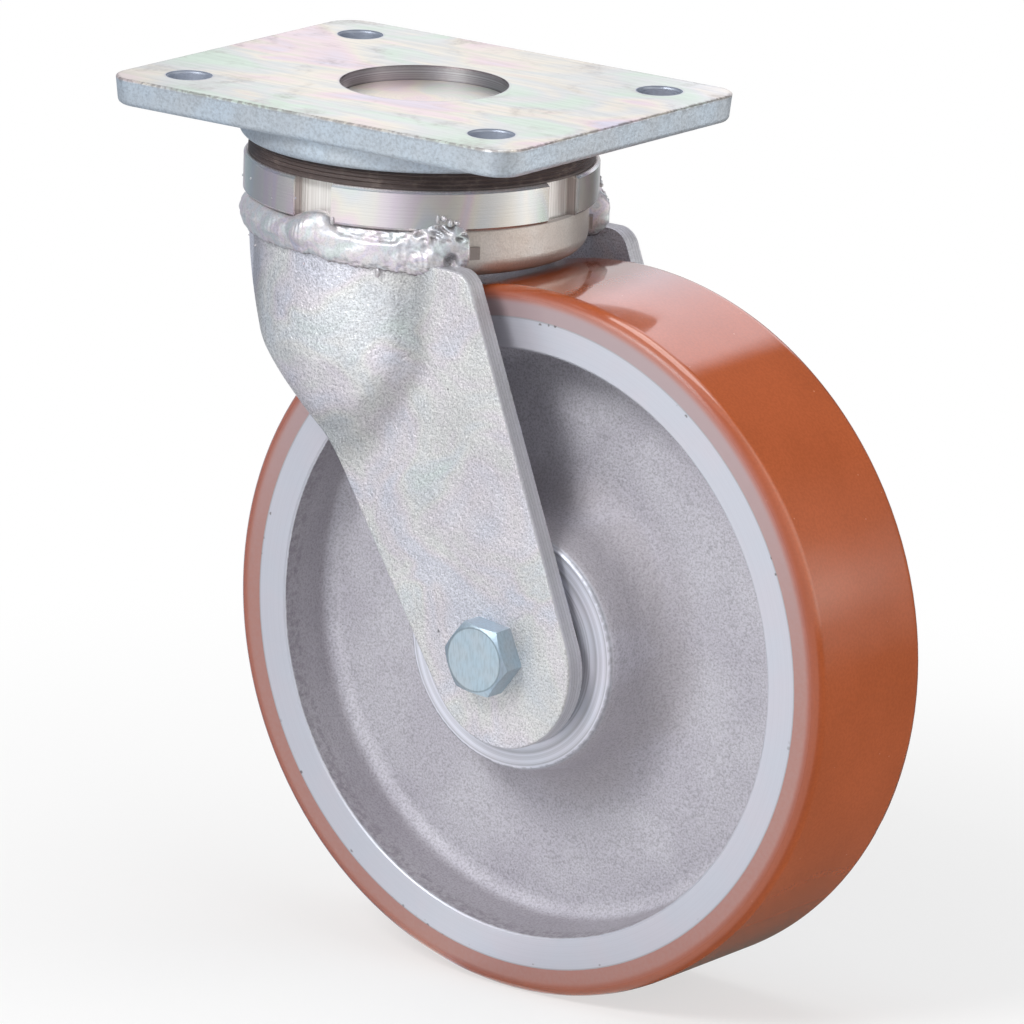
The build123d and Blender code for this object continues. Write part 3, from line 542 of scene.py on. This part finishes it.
def rubber_finish(tones):
    """Dark sealing rubber with moulding lines round it and dust in the grooves."""
    finish = Finish("seal rubber")
    lines = finish.lines(finish.z, 0.35)
    dust = finish.noise(4, 4, rough=0.7)
    colour = finish.mix(dust.step(0.50, 0.72) * 0.5, tones.rubber, (0.22, 0.17, 0.15))
    colour = finish.shade(colour, lines.step(0.3, 0.7), 0.65, 1.25)
    return finish.use(colour, 0.42 + 0.2 * dust, finish.relief((lines, 0.05), (finish.noise(0.6), 0.02)))


def plastic_finish():
    """Locking ring: milky polyamide with a faint cloud and fine scratches."""
    finish = Finish("ring plastic")
    cloud = finish.noise(3, 3)
    colour = finish.mix(cloud, (0.62, 0.66, 0.70), (0.74, 0.76, 0.76))
    return finish.use(colour, 0.42 + 0.15 * cloud, finish.relief((finish.noise(0.5), 0.02)))


# Weld beads

def wave(places, lengths, seed):
    """Smooth unevenness from -1 to 1: sines of the given wave lengths with seeded phases."""
    phases = np.random.default_rng(seed).uniform(0, 2 * math.pi, len(lengths))
    total = np.zeros_like(places, dtype=float)
    for order, (length, phase) in enumerate(zip(lengths, phases)):
        total = total + np.sin(2 * math.pi * places / length + phase) / (1 + 0.5 * order)
    return total / 1.8


def closed_grid(rows, first, last):
    """Vertices and faces of rings (n, m, 3) joined into a tube, with a point closing each end."""
    count, width = rows.shape[:2]
    vertices = np.concatenate([rows.reshape(-1, 3), [first, last]])
    index = np.arange(count * width).reshape(count, width)
    following = np.roll(index, -1, axis=1)
    sides = np.stack([index[:-1], following[:-1], following[1:], index[1:]], axis=-1).reshape(-1, 4)
    pole = np.full(width, count * width)
    start = np.stack([pole, following[0], index[0]], axis=-1)
    end = np.stack([pole + 1, index[-1], following[-1]], axis=-1)
    return vertices, sides, np.concatenate([start, end])


def follow(angles, table, soft=2.0):
    """Values of an (angle, value) table at many angles, joined by lines that a moving average rounds off."""
    places, values = zip(*table)
    reach = max(1, int(soft / (angles[1] - angles[0])))
    padded = np.interp(angles, places, values)
    padded = np.concatenate([np.full(reach, padded[0]), padded, np.full(reach, padded[-1])])
    return np.convolve(padded, np.full(2 * reach + 1, 1 / (2 * reach + 1)), mode="valid")


def rise(values, low, high):
    """0 below low, 1 above high and a smooth rise between."""
    share = np.clip((values - low) / (high - low), 0, 1)
    return share * share * (3 - 2 * share)


def crumple(a, b, size, seed):
    """Smooth unevenness from about -1 to 1: eight sines that run in turned directions over a and b."""
    chance = np.random.default_rng(seed)
    total = 0
    for turn, phase, stretch in zip(*chance.uniform((0, 0, 0.6), (math.pi, 2 * math.pi, 1.7), (8, 3)).T):
        run = a * math.cos(turn) + b * math.sin(turn)
        total = total + np.sin(2 * math.pi * stretch / size * run + phase)
    return total / 3


# Run of a weld: degrees round from the leg's middle, and millimetres
WELD_START, WELD_END = -64.0, 53.5
WELD_RADIUS, WELD_ROOT = 49.0, 46.9
WELD_TOP = (
    (-64, -34.0), (-52, -31.6), (-30, -30.6), (-10, -31.2), (-5, -29.4), (0, -28.0), (5, -28.2), (8, -31.0),
    (30, -31.2), (36, -29.8), (42, -28.0), (48, -28.2), (51, -29.4), (53.5, -31.0))
WELD_FOOT = (
    (-64, -38.6), (-54, -40.8), (-24, -41.1), (0, -40.8), (10, -42.1), (28, -42.7), (38, -43.8), (47, -43.6),
    (53.5, -41.0))
WELD_REACH = (
    (-64, 2.6), (-54, 3.3), (-20, 3.3), (-6, 3.9), (3, 4.3), (9, 3.2), (28, 3.0), (36, 3.8), (45, 5.2),
    (53.5, 5.8))
WELD_STEP = ((6, -31.0), (10, -33.7), (16, -34.4), (29, -34.9), (35, -31.0))
# Nuggets: angle, height, half length, half height, how far out, ring spacing. The last is a crater.
WELD_NUGGETS = (
    (-3.5, -33.6, 5.4, 5.2, 1.5, 1.25), (-17, -35.6, 7.0, 4.6, 0.5, 1.6), (-33, -34.6, 7.5, 4.2, 0.6, 1.5),
    (19, -38.6, 8.0, 3.2, 0.5, 9.0), (39.5, -39.4, 5.4, 3.6, 0.9, 1.5), (47.0, -38.6, 2.4, 2.8, -2.6, 9.0))
# Degrees from a nugget's middle back to the centre of its rings
RING_LAG = 9


def quarter(share):
    """Quarter circle from 0 to 1 that rounds an end off, kept a little above 0."""
    return np.sqrt(np.clip(1 - (1 - np.clip(share, 0, 1)) ** 2, 0.0004, 1))


def bead(side, settings):
    """Weld bead: a closed band carried round the swivel axis.

    Its top, foot and reach follow the tables above. A cut along WELD_STEP sets the upper, older pass back.
    Nuggets stand out as domes with rings round them, and crust, creases and streaks are added to the reach.
    """
    degrees = np.linspace(WELD_START, WELD_END, 640)
    top, foot, reach = (follow(degrees, table)[:, None] for table in (WELD_TOP, WELD_FOOT, WELD_REACH))
    step = follow(degrees, WELD_STEP, 1.0)[:, None]
    degrees = degrees[:, None]
    angles = np.radians(degrees)
    seed = 11 if side < 0 else 23
    turn = np.linspace(0, 2 * math.pi, 96, endpoint=False)[None, :]
    run = angles * WELD_RADIUS
    foot = foot + settings.unevenness * 3 * wave(run, (9.0, 4.1, 1.7), seed)
    close = quarter((degrees - WELD_START) / 5) * quarter((WELD_END - degrees) / 1.8)
    height = (top + foot) / 2 + (top - foot) / 2 * close * np.sin(turn)
    outer = np.clip(np.cos(turn), 0, 1) ** 0.75
    back = rise(height, step - 0.5, step + 1.3) * rise(degrees, 3, 12) * rise(degrees, 40, 29)
    stand = reach * outer * (1 - 0.34 * back)
    for angle, level, width, tall, high, pitch in WELD_NUGGETS:
        away = np.hypot((run - math.radians(angle) * WELD_RADIUS) / width, (height - level) / tall)
        dome = np.clip(1 - away ** 2, 0, 1) ** 1.3
        from_start = np.hypot(run - math.radians(angle - RING_LAG) * WELD_RADIUS, height - level)
        rings = np.sin(2 * math.pi * from_start / pitch)
        ripple = settings.ripple_depth / MM * min(0.7, 0.2 + high ** 2) * rings
        stand = stand + outer * dome * (high + ripple)
    crust = rise(height, -34.0, -32.0) * rise(degrees, 31, 36) + 0.35 * rise(degrees, 24, 36)
    creases = rise(height, -39.0, -41.0) * rise(degrees, 5, 10) + 0.4 * back
    streaks = rise(degrees, -8, -14)
    fold = np.abs(crumple(run * 0.6 + 0.3 * height, height, 3.4, seed + 1))
    crack = crumple(run * 0.22, height, 1.0, seed + 2)
    stand = stand + outer * (
        crust * 0.75 * (0.7 - fold)
        + 0.18 * creases * crack
        + 0.16 * back * crumple(run * 0.4, height, 1.9, seed + 6)
        + 0.10 * streaks * crumple(run * 0.3, height, 2.2, seed + 3)
        + 0.18 * crumple(run * 0.4, height, 4.4, seed + 4)
        + 0.025 * crumple(run * 0.5, height, 1.1, seed + 5))
    radius = WELD_ROOT + np.where(np.cos(turn) > 0, stand * close, 3.4 * np.cos(turn) * close)
    rows = np.stack([radius * np.sin(angles), side * radius * np.cos(angles), height], axis=-1)
    toe = rise(height, foot + 1.3, foot + 0.1) + 0.75 * back * rise(height, step + 1.8, step + 0.4)
    toe = toe + 0.8 * crust * rise(fold, 0.45, 0.95) + 0.5 * creases * rise(crack, 0.0, -0.6)
    return rows * MM, np.clip(toe + rise(away, 1.0, 0.4), 0, 1)


def lump(centre, radii, seed, size):
    """Blob of weld: an uneven ellipsoid on a grid of latitude and longitude."""
    latitude = np.linspace(-math.pi / 2, math.pi / 2, size + 2)[1:-1, None]
    longitude = np.linspace(0, 2 * math.pi, 2 * size, endpoint=False)[None, :]
    swell = 1 + 0.07 * wave(latitude + 0.7 * np.sin(longitude), (1.9, 0.9), seed)
    flat, tall = np.cos(latitude), np.sin(latitude) + 0 * longitude
    ball = np.stack([flat * np.cos(longitude), flat * np.sin(longitude), tall], axis=-1) * swell[..., None]
    rows = np.array(centre) + ball * np.array(radii)
    ends = [np.array(centre) + np.array((0, 0, sign * radii[2])) for sign in (-1, 1)]
    return rows, ends


def at_angle(angle, radius, height, side):
    """Point on the swivel head: degrees round from the leg's middle, towards the wheel when positive."""
    turn = math.radians(angle)
    return (radius * MM * math.sin(turn), side * radius * MM * math.cos(turn), height * MM)


def weld_mesh(name, side, settings):
    """One mesh of a bead, the burrs of its crust and its spatter."""
    rows, toe = bead(side, settings)
    middle = rows.mean(axis=1)
    parts = [(rows, middle[0], middle[-1], toe)]
    # Spikes and curls of the crust: angle, radius and height, then half axes
    burrs = (((44.5, 49.7, -27.0), (1.1, 0.6, 0.8)), ((42.8, 49.8, -27.2), (0.5, 0.5, 1.2)),
             ((48.6, 49.6, -28.2), (1.3, 0.7, 0.7)), ((46.6, 50.0, -28.2), (0.7, 0.7, 1.1)),
             ((23.8, 48.4, -43.1), (0.8, 0.6, 1.3)), ((8.3, 49.6, -29.8), (0.6, 0.5, 1.1)))
    for order, ((angle, radius, height), radii) in enumerate(burrs):
        grid, ends = lump(at_angle(angle, radius, height, side), np.array(radii) * MM, 40 + order, 12)
        parts.append((grid, *ends, np.full(grid.shape[:2], 0.35)))
    chance = np.random.default_rng(5 if side < 0 else 6)
    for order in range(settings.spatter):
        low = order % 2 == 0
        height = chance.uniform(-46.0, -43.4) if low else chance.uniform(-28.6, -25.0)
        size = chance.uniform(0.22, 0.45)
        place = at_angle(chance.uniform(-60, 48), 47.5 if low else 49.4, height, side)
        grid, ends = lump(place, np.full(3, size * MM), 80 + order, 7)
        parts.append((grid, *ends, np.full(grid.shape[:2], 0.4)))
    vertices, quads, triangles, toes, offset = [], [], [], [], 0
    for grid, first, last, mark in parts:
        corner = grid[0, 0]
        if np.cross(grid[1, 0] - corner, grid[0, 1] - corner) @ (corner - grid[0].mean(axis=0)) > 0:
            grid, mark = grid[:, ::-1], mark[:, ::-1]
        points, four, three = closed_grid(grid, first, last)
        vertices.append(points)
        quads.append(four + offset)
        triangles.append(three + offset)
        toes.append(np.concatenate([mark.reshape(-1), [0.0, 0.0]]))
        offset += len(points)
    mesh = bpy.data.meshes.new(name)
    faces = np.concatenate(quads).tolist() + np.concatenate(triangles).tolist()
    mesh.from_pydata(np.concatenate(vertices), [], faces)
    mesh.shade_smooth()
    mesh.attributes.new("toe", "FLOAT", "POINT").data.foreach_set("value", np.concatenate(toes))
    return mesh


# Settings

def tone_prop(name, description, default):
    """A colour."""
    return bpy.props.FloatVectorProperty(
        name=name, description=description, subtype="COLOR", min=0, max=1, default=default)


def length_prop(name, description, default):
    """A length in metres."""
    return bpy.props.FloatProperty(
        name=name, description=description, subtype="DISTANCE", unit="LENGTH", default=default)


def angle_prop(name, description, degrees):
    """An angle, given in degrees."""
    return bpy.props.FloatProperty(
        name=name, description=description, subtype="ANGLE", unit="ROTATION", default=math.radians(degrees))


def level_prop(name, description, default):
    """A strength of light."""
    return bpy.props.FloatProperty(name=name, description=description, default=default, min=0)


class CastorTones(bpy.types.PropertyGroup):
    """Colours of the castor's finishes."""
    zinc_light: tone_prop("Light zinc", "Pale zinc where the film is thin", (0.66, 0.68, 0.70))
    zinc_blue: tone_prop("Blue zinc", "Zinc on the forged sides of the plate", (0.53, 0.61, 0.69))
    cream_film: tone_prop("Cream film", "Passivate film over most of the plate", (0.80, 0.74, 0.64))
    mint_film: tone_prop("Mint film", "Passivate film at its thinnest", (0.58, 0.74, 0.63))
    pink_film: tone_prop("Pink film", "Passivate film where it is thicker", (0.80, 0.61, 0.68))
    lilac_film: tone_prop("Lilac film", "Passivate film at its thickest", (0.64, 0.60, 0.78))
    weld_bright: tone_prop("Weld", "Plated weld metal", (0.62, 0.62, 0.68))
    fastener_blue: tone_prop("Fasteners", "Bluish zinc of the bolt and nuts", (0.66, 0.84, 0.98))
    iron: tone_prop("Casting", "Rough surface of the wheel centre", (0.50, 0.485, 0.54))
    iron_turned: tone_prop("Turned faces", "Rim and hub faces of the wheel centre", (0.58, 0.575, 0.64))
    tyre: tone_prop("Tread", "Glossy polyurethane of the tread", (0.44, 0.098, 0.030))
    # Pale tone of the frosted side faces, a painted sheen
    tyre_side_and_sheen: tone_prop("Tyre sides", "Frosted side faces of the tyre", (0.38, 0.175, 0.145))
    rubber: tone_prop("Seals", "Sealing rubber", (0.085, 0.062, 0.058))


class CastorWelds(bpy.types.PropertyGroup):
    """Form of the weld beads."""
    ripple_depth: length_prop("Ripple depth", "Height of the rings round a nugget", 0.11 * MM)
    unevenness: bpy.props.FloatProperty(
        name="Unevenness", description="How far the bead's size wanders along its run", default=0.10,
        subtype="FACTOR")
    spatter: bpy.props.IntProperty(
        name="Spatter", description="Drops of weld beside the bead", default=9, min=0)


class CastorStudio(bpy.types.PropertyGroup):
    """Floor, lights and camera."""
    floor_size: length_prop("Floor", "Side of the square floor", 14.0)
    light_level: level_prop("Lights", "Level of the lamps", 1.0)
    surroundings: level_prop("Surroundings", "Level of the soft light from all round", 0.35)
    screen_level: level_prop("Screens", "Level of the screens that gloss reflects", 2.4)
    screen_radius: length_prop("Screen distance", "From the castor to the screens", 0.5)
    azimuth: angle_prop("Azimuth", "Turn of the camera round the castor", 36.585)
    elevation: angle_prop("Elevation", "Height of the camera above the horizon", 14.918)
    roll: angle_prop("Roll", "Turn of the camera about its own line of sight", 1.826)
    distance: length_prop("Distance", "From the camera to the point it looks at", 2.5096)
    lens: bpy.props.FloatProperty(
        name="Lens", description="Focal length on a sensor 36 mm wide", default=317.6,
        subtype="DISTANCE_CAMERA")


# Operators

class CASTOR_OT_top_plate(bpy.types.Operator):
    """Finish the top plate and the head of the king pin"""
    bl_idname = "castor.top_plate"
    bl_label = "Top plate"

    def execute(self, context):
        tones = context.scene.castor_tones
        wear(["top_plate"], plate_finish(tones))
        wear(["king_pin"], pin_finish(tones))
        return {"FINISHED"}


class CASTOR_OT_swivel_head(bpy.types.Operator):
    """Finish the swivel housing, its dust seal and the nut under it"""
    bl_idname = "castor.swivel_head"
    bl_label = "Swivel head"

    def execute(self, context):
        tones = context.scene.castor_tones
        wear(["swivel_housing"], housing_finish(tones))
        wear(["king_pin_washer", "king_pin_nut", "split_pin"], fastener_finish("pin fastener zinc", tones))
        return {"FINISHED"}


class CASTOR_OT_fork_legs(bpy.types.Operator):
    """Finish both fork legs"""
    bl_idname = "castor.fork_legs"
    bl_label = "Fork legs"

    def execute(self, context):
        wear(["fork_leg_left", "fork_leg_right"], leg_finish(context.scene.castor_tones))
        return {"FINISHED"}


class CASTOR_OT_weld_beads(bpy.types.Operator):
    """Make the rippled weld beads in place of the plain ones"""
    bl_idname = "castor.weld_beads"
    bl_label = "Weld beads"

    def execute(self, context):
        scene = context.scene
        material = weld_finish(scene.castor_tones)
        for name, node, side in (("weld_bead_left", "weld_left", -1), ("weld_bead_right", "weld_right", 1)):
            mesh = weld_mesh(name, side, scene.castor_welds)
            mesh.materials.append(material)
            piece = add_object(name, mesh)
            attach(piece, "fork")
            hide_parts(node)
        return {"FINISHED"}


class CASTOR_OT_wheel(bpy.types.Operator):
    """Finish the cast wheel centre and its tyre"""
    bl_idname = "castor.wheel"
    bl_label = "Wheel"

    def execute(self, context):
        tones = context.scene.castor_tones
        wear(["wheel_centre"], iron_finish(tones))
        wear(["tyre"], tyre_finish(tones))
        return {"FINISHED"}


class CASTOR_OT_axle(bpy.types.Operator):
    """Finish the axle bolt with its nut and washer, the locking ring, the tube and the spacers"""
    bl_idname = "castor.axle"
    bl_label = "Axle"

    def execute(self, context):
        tones = context.scene.castor_tones
        wear(["axle_bolt"], fastener_finish("axle bolt zinc", tones, threaded=True))
        wear(["axle_washer", "axle_nut"], fastener_finish("axle nut zinc", tones))
        wear(["nut_locking_ring"], plastic_finish())
        wear(["axle_tube", "inner_spacer", "side_spacer_left", "side_spacer_right"], turned_finish(tones))
        return {"FINISHED"}


class CASTOR_OT_bearings(bpy.types.Operator):
    """Finish every ball and roller bearing and the rubber seals"""
    bl_idname = "castor.bearings"
    bl_label = "Bearings and seals"

    def execute(self, context):
        steel = [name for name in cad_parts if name.startswith(("thrust_", "taper_"))]
        seals = ["dust_seal"]
        for side in ("left", "right"):
            steel += [f"bearing_{piece}_{side}" for piece in ("inner_ring", "outer_ring", "balls", "cage")]
            seals.append(f"bearing_seals_{side}")
        wear(steel, bearing_finish())
        wear(seals, rubber_finish(context.scene.castor_tones))
        return {"FINISHED"}


# Tone of the screens by direction: degrees round from +X, anticlockwise from above
SCREEN_TONES = (
    (0, (0.40, 0.39, 0.38)), (14, (0.68, 0.66, 0.62)), (24, (0.46, 0.45, 0.43)), (33, (0.13, 0.125, 0.12)),
    (46, (0.06, 0.055, 0.05)), (90, (0.05, 0.045, 0.045)), (126, (0.49, 0.49, 0.50)),
    (140, (0.52, 0.52, 0.53)), (154, (0.22, 0.23, 0.25)), (182, (0.10, 0.115, 0.14)),
    (214, (0.17, 0.18, 0.20)), (238, (0.38, 0.38, 0.39)), (252, (0.50, 0.50, 0.485)),
    (268, (0.50, 0.50, 0.495)), (282, (0.42, 0.43, 0.47)), (298, (0.20, 0.20, 0.22)),
    (320, (0.15, 0.145, 0.14)), (344, (0.28, 0.27, 0.26)), (360, (0.40, 0.39, 0.38)),
)
CASTOR_MIDDLE = (0.03, 0.0, -0.12)
# Name, place, point that it faces, side and power of each lamp
LAMPS = (
    ("key_lamp", (-0.125, -1.10, 0.88), CASTOR_MIDDLE, 0.45, 13.4),
    ("top_lamp", (0.1, 0.15, 1.4), CASTOR_MIDDLE, 0.9, 8),
    ("right_lamp", (1.5, -0.5, 0.5), CASTOR_MIDDLE, 0.9, 4),
    ("low_lamp", (0.85, 0.85, -0.15), (0.03, 0.02, -0.03), 0.6, 6),
)
CAMERA_TARGET = (34.922, 0.0, -116.453)


def studio_floor(size):
    """Pale floor under the wheel. It keeps the castor's shadow and turns to plain white further out."""
    mesh = bpy.data.meshes.new("studio_floor")
    half, low = size / 2, CAD_BOX[0].z
    corners = [(-half, -half, low), (half, -half, low), (half, half, low), (-half, half, low)]
    mesh.from_pydata(corners, [], [(0, 1, 2, 3)])
    finish = Finish("floor white", Roughness=0.9, Base_Color=(0.80, 0.80, 0.80))
    path = finish.node("ShaderNodeLightPath").outputs
    seen = finish.math("MAXIMUM", path["Is Camera Ray"], path["Is Glossy Ray"])
    seen = finish.math("MAXIMUM", seen, path["Is Transmission Ray"])
    far = finish.away(finish.x - AXLE.x, finish.y).step(0.10, 0.42)
    share = seen * (0.62 + 0.38 * far)
    white = finish.node("ShaderNodeEmission", None, {0: (1.0, 1.0, 1.0), 1: 1.0})
    blend = finish.node("ShaderNodeMixShader", None, {
        0: share, 1: finish.shader.outputs["BSDF"], 2: white.outputs[0]})
    finish.show(blend)
    mesh.materials.append(finish.material)
    floor = add_object("studio_floor", mesh)


def studio_screens(settings):
    """Soft boxes and dark screens in a ring round the castor, which only gloss reflects.

    They lean outwards from a mat on the floor. Their tone follows the direction round the castor. One high
    box lights the tread from behind, and the screens beside its lower part are dark.
    """
    turn = np.linspace(0, 2 * math.pi, 96, endpoint=False)
    low, high, centre = CAD_BOX[0].z + 0.002, CAD_BOX[0].z + 0.85, AXLE.x / 2
    rings = ((0.01, low), (0.4 * settings.screen_radius, low), (settings.screen_radius, high))
    vertices = np.concatenate([
        np.stack([centre + radius * np.cos(turn), radius * np.sin(turn), np.full_like(turn, level)], axis=-1)
        for radius, level in rings
    ])
    index = np.arange(2 * len(turn)).reshape(2, -1)
    following = np.roll(index, -1, axis=1)
    faces = np.stack([index, index + len(turn), following + len(turn), following], axis=-1).reshape(-1, 4)
    mesh = bpy.data.meshes.new("studio_screens")
    mesh.from_pydata(vertices, [], faces.tolist())
    finish = Finish("studio screens")
    finish.tree.nodes.remove(finish.shader)
    degrees = finish.math("ARCTAN2", finish.y, finish.x - centre) * (180 / math.pi)
    share = finish.math("FRACT", degrees / 360 + 1)
    tones = finish.ramp(share, [(place / 360, colour) for place, colour in SCREEN_TONES])
    level = finish.mix(degrees.band(86, 113, 8.0) * finish.z.step(0.0, 0.06), tones, (0.68, 0.66, 0.72))
    level = finish.mix(degrees.band(-12, 98, 8.0) * finish.z.step(-0.09, -0.13), level, (0.05, 0.045, 0.04))
    boost = finish.node("ShaderNodeEmission", None, {0: level, 1: settings.screen_level})
    finish.show(boost)
    mesh.materials.append(finish.material)
    screens = add_object("studio_screens", mesh)
    for ray in ("camera", "diffuse", "transmission", "shadow", "volume_scatter"):
        setattr(screens, f"visible_{ray}", False)


def lamp(name, place, target, size, power):
    """Square soft lamp that faces a point."""
    light = bpy.data.lights.new(name, "AREA")
    light.size = size
    light.energy = power
    holder = add_object(name, light)
    facing = (Vector(target) - Vector(place)).to_track_quat("-Z", "Y").to_matrix().to_4x4()
    holder.matrix_world = Matrix.Translation(place) @ facing


def studio_world(level):
    """White surroundings for the camera and for gloss, and a plain dimmer level for soft light."""
    world = bpy.data.worlds.new("studio_world")
    world.use_nodes = True
    tree = world.node_tree
    tree.nodes.clear()
    path = tree.nodes.new("ShaderNodeLightPath")
    seen = path.outputs["Is Camera Ray"]
    for ray in ("Is Glossy Ray", "Is Transmission Ray"):
        join = tree.nodes.new("ShaderNodeMath")
        join.operation = "MAXIMUM"
        tree.links.new(seen, join.inputs[0])
        tree.links.new(path.outputs[ray], join.inputs[1])
        seen = join.outputs[0]
    soft, white = tree.nodes.new("ShaderNodeBackground"), tree.nodes.new("ShaderNodeBackground")
    soft.inputs["Strength"].default_value = level
    for shade in (soft, white):
        shade.inputs["Color"].default_value = (1.0, 1.0, 1.0, 1.0)
    blend, output = tree.nodes.new("ShaderNodeMixShader"), tree.nodes.new("ShaderNodeOutputWorld")
    tree.links.new(seen, blend.inputs[0])
    tree.links.new(soft.outputs[0], blend.inputs[1])
    tree.links.new(white.outputs[0], blend.inputs[2])
    tree.links.new(blend.outputs[0], output.inputs["Surface"])
    bpy.context.scene.world = world


def studio_camera(settings):
    """Camera on a long lens, placed by its turn, height and roll round the point that it looks at."""
    turn, height, roll = settings.azimuth, settings.elevation, settings.roll
    back = Vector((math.sin(turn) * math.cos(height), -math.cos(turn) * math.cos(height), math.sin(height)))
    right = (-back).cross(Vector((0, 0, 1))).normalized()
    up = right.cross(-back)
    level_right = math.cos(roll) * right + math.sin(roll) * up
    level_up = math.cos(roll) * up - math.sin(roll) * right
    axes = Matrix((level_right, level_up, back)).transposed().to_4x4()
    camera = bpy.data.cameras.new("studio_camera")
    camera.lens = settings.lens
    camera.sensor_width = 36.0
    camera.clip_end = 100.0
    holder = add_object("studio_camera", camera)
    target = Vector(CAMERA_TARGET) * MM
    holder.matrix_world = Matrix.Translation(target + back * settings.distance) @ axes
    bpy.context.scene.camera = holder


class CASTOR_OT_studio(bpy.types.Operator):
    """Set up the floor, the soft lights, the surroundings and the camera"""
    bl_idname = "castor.studio"
    bl_label = "Studio"

    def execute(self, context):
        scene = context.scene
        settings = scene.castor_studio
        studio_floor(settings.floor_size)
        studio_screens(settings)
        studio_world(settings.surroundings)
        for name, place, target, size, power in LAMPS:
            lamp(name, place, target, size, power * settings.light_level)
        studio_camera(settings)
        scene.view_settings.view_transform = "Standard"
        return {"FINISHED"}


class CASTOR_PT_panel(bpy.types.Panel):
    """Lists the castor's settings and steps in the sidebar."""
    bl_label = "Swivel castor"
    bl_idname = "CASTOR_PT_panel"
    bl_space_type = "VIEW_3D"
    bl_region_type = "UI"
    bl_category = "Castor"

    def draw(self, context):
        scene = context.scene
        for settings in (scene.castor_tones, scene.castor_welds, scene.castor_studio):
            box = self.layout.box()
            for name in settings.bl_rna.properties.keys():
                if name not in ("rna_type", "name"):
                    box.prop(settings, name)
        for step in STEPS:
            self.layout.operator(step.bl_idname)


STEPS = (
    CASTOR_OT_top_plate, CASTOR_OT_swivel_head, CASTOR_OT_fork_legs, CASTOR_OT_weld_beads, CASTOR_OT_wheel,
    CASTOR_OT_axle, CASTOR_OT_bearings, CASTOR_OT_studio,
)
GROUPS = {"castor_tones": CastorTones, "castor_welds": CastorWelds, "castor_studio": CastorStudio}


def register():
    for group in (*GROUPS.values(), *STEPS, CASTOR_PT_panel):
        bpy.utils.register_class(group)
    for name, group in GROUPS.items():
        setattr(bpy.types.Scene, name, bpy.props.PointerProperty(type=group))


def unregister():
    for name in GROUPS:
        delattr(bpy.types.Scene, name)
    for group in (CASTOR_PT_panel, *reversed(STEPS), *GROUPS.values()):
        bpy.utils.unregister_class(group)


def main():
    """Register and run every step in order."""
    register()
    for step in STEPS:
        family, name = step.bl_idname.split(".")
        getattr(getattr(bpy.ops, family), name)()


if __name__ == "__main__":
    main()
